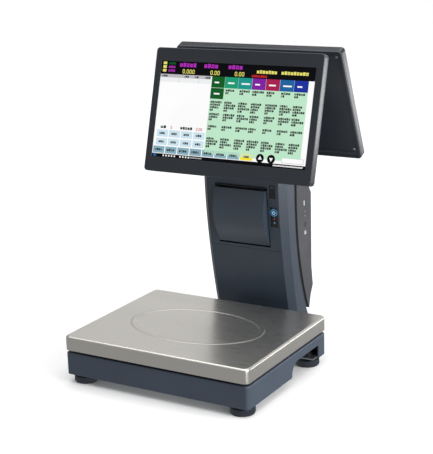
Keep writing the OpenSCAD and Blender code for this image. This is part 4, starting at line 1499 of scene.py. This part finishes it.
@dataclass
class Display:
    """A tilting display: bezel, touch glass, lit picture, back cover and hinge leaf."""

    side: Side
    tilt_deg: float
    up: float = 124.0
    down: float = 126.0
    width: float = 374.0
    corner: float = 7.0
    seam_y: float = 14.0
    back_y: float = 20.0
    bulge_w: float = 180.0
    bulge_low: float = -80.0
    bulge_high: float = 70.0
    bulge_y: float = 30.0
    glass_middle_y: float = 2.75
    vents: int = 9
    vent_pitch: float = 14.0
    vent_w: float = 10.0
    screw_r: float = 3.4
    screw_in: float = 13.0

    def body(self) -> str:
        """Names the body that the display's pieces ride on."""
        return f"{self.side.value}_display"

    def matrix(self) -> Matrix:
        """Gives the display's place, from its own upright millimetres to the frame.

        Returns:
            The matrix. The middle of the screen's face is its origin, and +Y goes into it.
        """
        low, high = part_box(f"{self.side.value}_glass")
        turn = Matrix.Rotation(math.radians(-self.tilt_deg), 4, "X")
        if self.side is Side.REAR:
            turn = Matrix.Rotation(math.pi, 4, "Z") @ turn
        middle = (low + high) / 2 - turn @ Vector((0, self.glass_middle_y * MM, 0))
        return Matrix.Translation(middle) @ turn @ Matrix.Scale(MM, 4)

    def build(self) -> None:
        """Builds all pieces of the display."""
        self.bezel()
        self.picture()
        self.back_cover()
        self.screws()
        name = self.side.value
        cad_finish(TOUCH_GLASS, f"{name}_glass")
        cad_finish(LCD_TRAY, f"{name}_lcd")
        soften(f"{name}_hinge_leaf", self.body(), STEEL, 0.5)

    def bezel(self) -> None:
        """Rounds the bezel: broad at the face's rim, fine at the screen and the seam."""
        node = f"{self.side.value}_bezel"
        bm = cad_copy(node)
        local = self.matrix().inverted()
        half = self.width / 2

        def near(point: Vector, y: float) -> bool:
            """Says whether a point lies at this depth."""
            return abs(point.y - y) < 0.05

        def outside(point: Vector, strip: float, across: bool = True, down: bool = True) -> bool:
            """Says whether a point lies in the outer strip, at the sides or above and below."""
            beside = abs(point.x) + strip > half
            level = strip - self.down < point.z < self.up - strip
            return across and beside or down and not level

        for width, strips, where in (
            (1.7, 4, lambda p: near(p, 0) and outside(p, 8)),
            (0.5, 2, lambda p: near(p, 0)),
            (0.8, 2, lambda p: near(p, self.seam_y) and outside(p, 1.2, down=False)),
            (0.8, 2, lambda p: near(p, self.seam_y) and outside(p, 1.2, across=False)),
        ):
            round_edges(bm, width, strips, 50.0, where, local)
        add_piece(f"{node}_moulding", bm, self.body(), [DISPLAY_ABS], [node])

    def picture(self) -> None:
        """Lays the lit picture just above the glass."""
        picture = ScreenPicture()
        if self.side is Side.FRONT:
            picture.operator_view()
        else:
            picture.customer_view()
        bm = picture.bm
        bm.normal_update()
        for face in bm.faces:
            if face.normal.y > 0:
                face.normal_flip()
        bm.transform(self.matrix())
        add_piece(
            f"{self.side.value}_screen_picture", bm, self.body(),
            [ink.finish() for ink in picture.inks],
        )

    def back_cover(self) -> None:
        """Builds the back cover: rolled rim, sunk panel, raised hinge pod and lower ridge."""
        bm = bmesh.new()
        verts = block(
            bm,
            (-self.width / 2, self.seam_y, -self.down),
            (self.width / 2, self.back_y, self.up),
        )
        bevel(bm, edges_along(edges_of(verts), 1), self.corner, 6)
        for y, size, strips in ((self.back_y, 2.6, 4), (self.seam_y, 0.8, 2)):
            bevel(bm, level_edges(bm.edges, 1, y), size, strips)
        bm.normal_update()
        panel = [max((f for f in bm.faces if f.normal.y > 0.99), key=lambda f: f.calc_area())]
        bmesh.ops.inset_region(bm, faces=panel, thickness=2.4, depth=0.0)
        bmesh.ops.inset_region(bm, faces=panel, thickness=1.2, depth=-1.2)
        self.pod(bm)
        self.ridge(bm)
        bm.transform(self.matrix())
        node = f"{self.side.value}_back_cover"
        add_piece(f"{node}_moulding", bm, self.body(), [COVER_ABS, NYLON], [node])

    def pod(self, bm: Mesh) -> None:
        """Adds the raised pod that carries the hinge leaf, with vents above and below it, drawn
        as dark bars of painted shade.

        Args:
            bm: The cover's mesh, in the display's own millimetres.
        """
        verts = block(
            bm,
            (-self.bulge_w / 2, self.back_y - 3, self.bulge_low),
            (self.bulge_w / 2, self.bulge_y, self.bulge_high),
        )
        made = bevel(bm, edges_along(edges_of(verts), 1), 10.0, 6)
        bevel(bm, level_edges(edges_of(made), 1, self.bulge_y), 2.5, 3)
        # The vent slots are not cut: dark bars just proud of the panel stand for them as painted
        # shade.
        half, deep, proud = self.vent_w / 2, self.back_y - 1.6, self.back_y - 1.1
        for i in range(self.vents):
            x = self.vent_pitch * (i - (self.vents - 1) / 2)
            for z in (self.bulge_high + 9, self.bulge_low - 9):
                block(bm, (x - half, deep, z - 1), (x + half, proud, z + 1), 1)

    def ridge(self, bm: Mesh) -> None:
        """Adds the low half-round ridge along the cover's lower edge.

        Args:
            bm: The cover's mesh, in the display's own millimetres.
        """
        verts = block(
            bm,
            (-self.width / 2 + 12, self.back_y - 2, -self.down + 12),
            (self.width / 2 - 12, self.back_y + 1.2, -self.down + 17),
        )
        bevel(bm, level_edges(edges_of(verts), 1, self.back_y + 1.2), 1.6, 3)

    def screws(self) -> None:
        """Adds the cross-head screws in the corners of the back cover, each with a dark cross on
        its head as painted shade of its cross recess.
        """
        bm = bmesh.new()
        for x in (-1, 1):
            for z in (self.up - self.screw_in, -self.down + 22):
                centre = Vector((x * (self.width / 2 - self.screw_in), self.back_y - 1.0, z))
                disc(bm, centre, self.screw_r, 1.2, "Y", segments=24, tip=0.8)
                # The cross recess is not cut: a dark cross stands just proud of the head as
                # painted shade.
                arm = Vector((2.0, 0.35, 0.45))
                cross = centre + Vector((0, arm.y, 0))
                for size in (arm, Vector((arm.z, arm.y, arm.x))):
                    block(bm, cross - size, cross + size, 1)
        bm.transform(self.matrix())
        add_piece(
            f"{self.side.value}_cover_screws", bm, self.body(), [ZINC, TRIM_ABS],
            smooth_deg=30.0,
        )


# ---------------------------------------------------------------- studio


@dataclass
class Softbox:
    """A rectangular studio light aimed at the scale."""

    name: str
    place: tuple[float, float, float]
    size: tuple[float, float]
    radiance: float
    aim: tuple[float, float, float] = (0.0, 0.0, 0.25)

    def build(self) -> None:
        """Makes the light, with its power worked out from its radiance and area."""
        data = bpy.data.lights.new(self.name, "AREA")
        data.shape = "RECTANGLE"
        data.size, data.size_y = self.size
        data.energy = self.radiance * math.pi * self.size[0] * self.size[1]
        light = place_object(self.name, data)
        light.location = self.place
        light.rotation_mode = "QUATERNION"
        towards = Vector(self.aim) - Vector(self.place)
        light.rotation_quaternion = towards.to_track_quat("-Z", "Y")


@dataclass
class Studio:
    """Pale floor, soft lights and the camera, which looks at the scale from its front right."""

    azimuth: float = 30.73
    elevation: float = 15.01
    roll: float = -1.69
    distance: float = 2340.3
    target: tuple[float, float] = (-35.2, -281.2)
    focal_mm: float = 95.38
    world: float = 0.41
    sun: float = 2.15
    sun_angle: float = math.radians(80)
    floor_glow: float = 0.01
    floor_colour: str = "#F6F6F6"
    lights: list[Softbox] = field(
        default_factory=lambda: [
            Softbox("Key softbox", (2.4, -0.2, 1.2), (1.6, 1.6), 6.2),
            Softbox("Back wall", (-0.3, 3.2, 1.5), (5.5, 2.6), 0.4, (0.0, 0.0, 0.4)),
            Softbox("Low front strip", (1.5, -0.85, 0.14), (0.5, 0.24), 20.0, (0.19, -0.1, 0.08)),
            Softbox("Low rear strip", (1.25, 1.7, 0.2), (0.9, 0.36), 4.5, (0.19, 0.0, 0.08)),
        ]
    )

    def build(self) -> None:
        """Makes the camera, world, floor and lights."""
        self.camera()
        scene = bpy.context.scene
        scene.view_settings.view_transform = "Standard"
        scene.world = bpy.data.worlds.new("Studio air")
        scene.world.use_nodes = True
        tree = scene.world.node_tree
        air = tree.nodes["Background"]
        air.inputs["Color"].default_value = WHITE
        # The camera sees white air, which lights the scale only dimly.
        seen = add_node(tree, "ShaderNodeLightPath")
        glow = add_node(
            tree, "ShaderNodeMath", {"operation": "MAXIMUM"},
            {0: seen.outputs["Is Camera Ray"], 1: self.world},
        )
        tree.links.new(glow.outputs[0], air.inputs["Strength"])
        self.floor()
        self.ceiling_light()
        for light in self.lights:
            light.build()

    def ceiling_light(self) -> None:
        """Makes the broad soft light from above that keeps the whole floor pale."""
        data = bpy.data.lights.new("Ceiling light", "SUN")
        data.energy = self.sun
        data.angle = self.sun_angle
        place_object("Ceiling light", data).location = (0.0, 0.0, 3.0)

    def camera(self) -> None:
        """Places the camera from its angles, its distance and the point it looks at."""
        a, e, r = (math.radians(v) for v in (self.azimuth, self.elevation, self.roll))
        back = Vector((math.sin(a) * math.cos(e), -math.cos(a) * math.cos(e), math.sin(e)))
        right = Vector((math.cos(a), math.sin(a), 0.0))
        up = back.cross(right)
        axes = Matrix.Rotation(-r, 3, "Z") @ Matrix((right, up, back))
        eye = axes.transposed() @ Vector((-self.target[0], -self.target[1], self.distance))
        data = bpy.data.cameras.new("Camera")
        data.sensor_width = 36.0
        data.lens = self.focal_mm
        data.clip_start, data.clip_end = 0.05, 60.0
        camera = place_object("Camera", data)
        camera.matrix_world = Matrix.Translation(TO_FRAME @ eye) @ axes.transposed().to_4x4()
        bpy.context.scene.camera = camera

    def floor(self) -> None:
        """Lays the pale floor. It catches shadows and throws no light back on the scale."""
        bm = bmesh.new()
        bmesh.ops.create_grid(bm, x_segments=4, y_segments=4, size=90.0)
        mesh = bpy.data.meshes.new("Studio floor")
        bm.to_mesh(mesh)
        bm.free()
        floor = place_object("Studio_floor", mesh)
        mesh.materials.append(
            Backlit(
                # Opal acrylic table lit from below, almost white.
                "Opal acrylic floor", self.floor_colour, None, roughness=0.9,
                patch_mm=900.0, grain_mm=4.0, depth_mm=0.02, shade=0.006,
                strength=self.floor_glow,
            ).material()
        )
        floor.visible_diffuse = False
        floor.visible_glossy = False


def main() -> None:
    """Builds the scale and its studio."""
    logging.basicConfig(level=logging.INFO, format="%(message)s")
    Studio().build()
    WeighingBase().build()
    Column().build()
    Printer().build()
    Display(Side.FRONT, 16.0).build()
    Display(Side.REAR, 23.5).build()
    bare = [n for n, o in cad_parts.items() if not o.hide_render and not o.data.materials]
    if bare:
        raise ValueError(f"these nodes have no finish: {bare}")


if __name__ == "__main__":
    main()
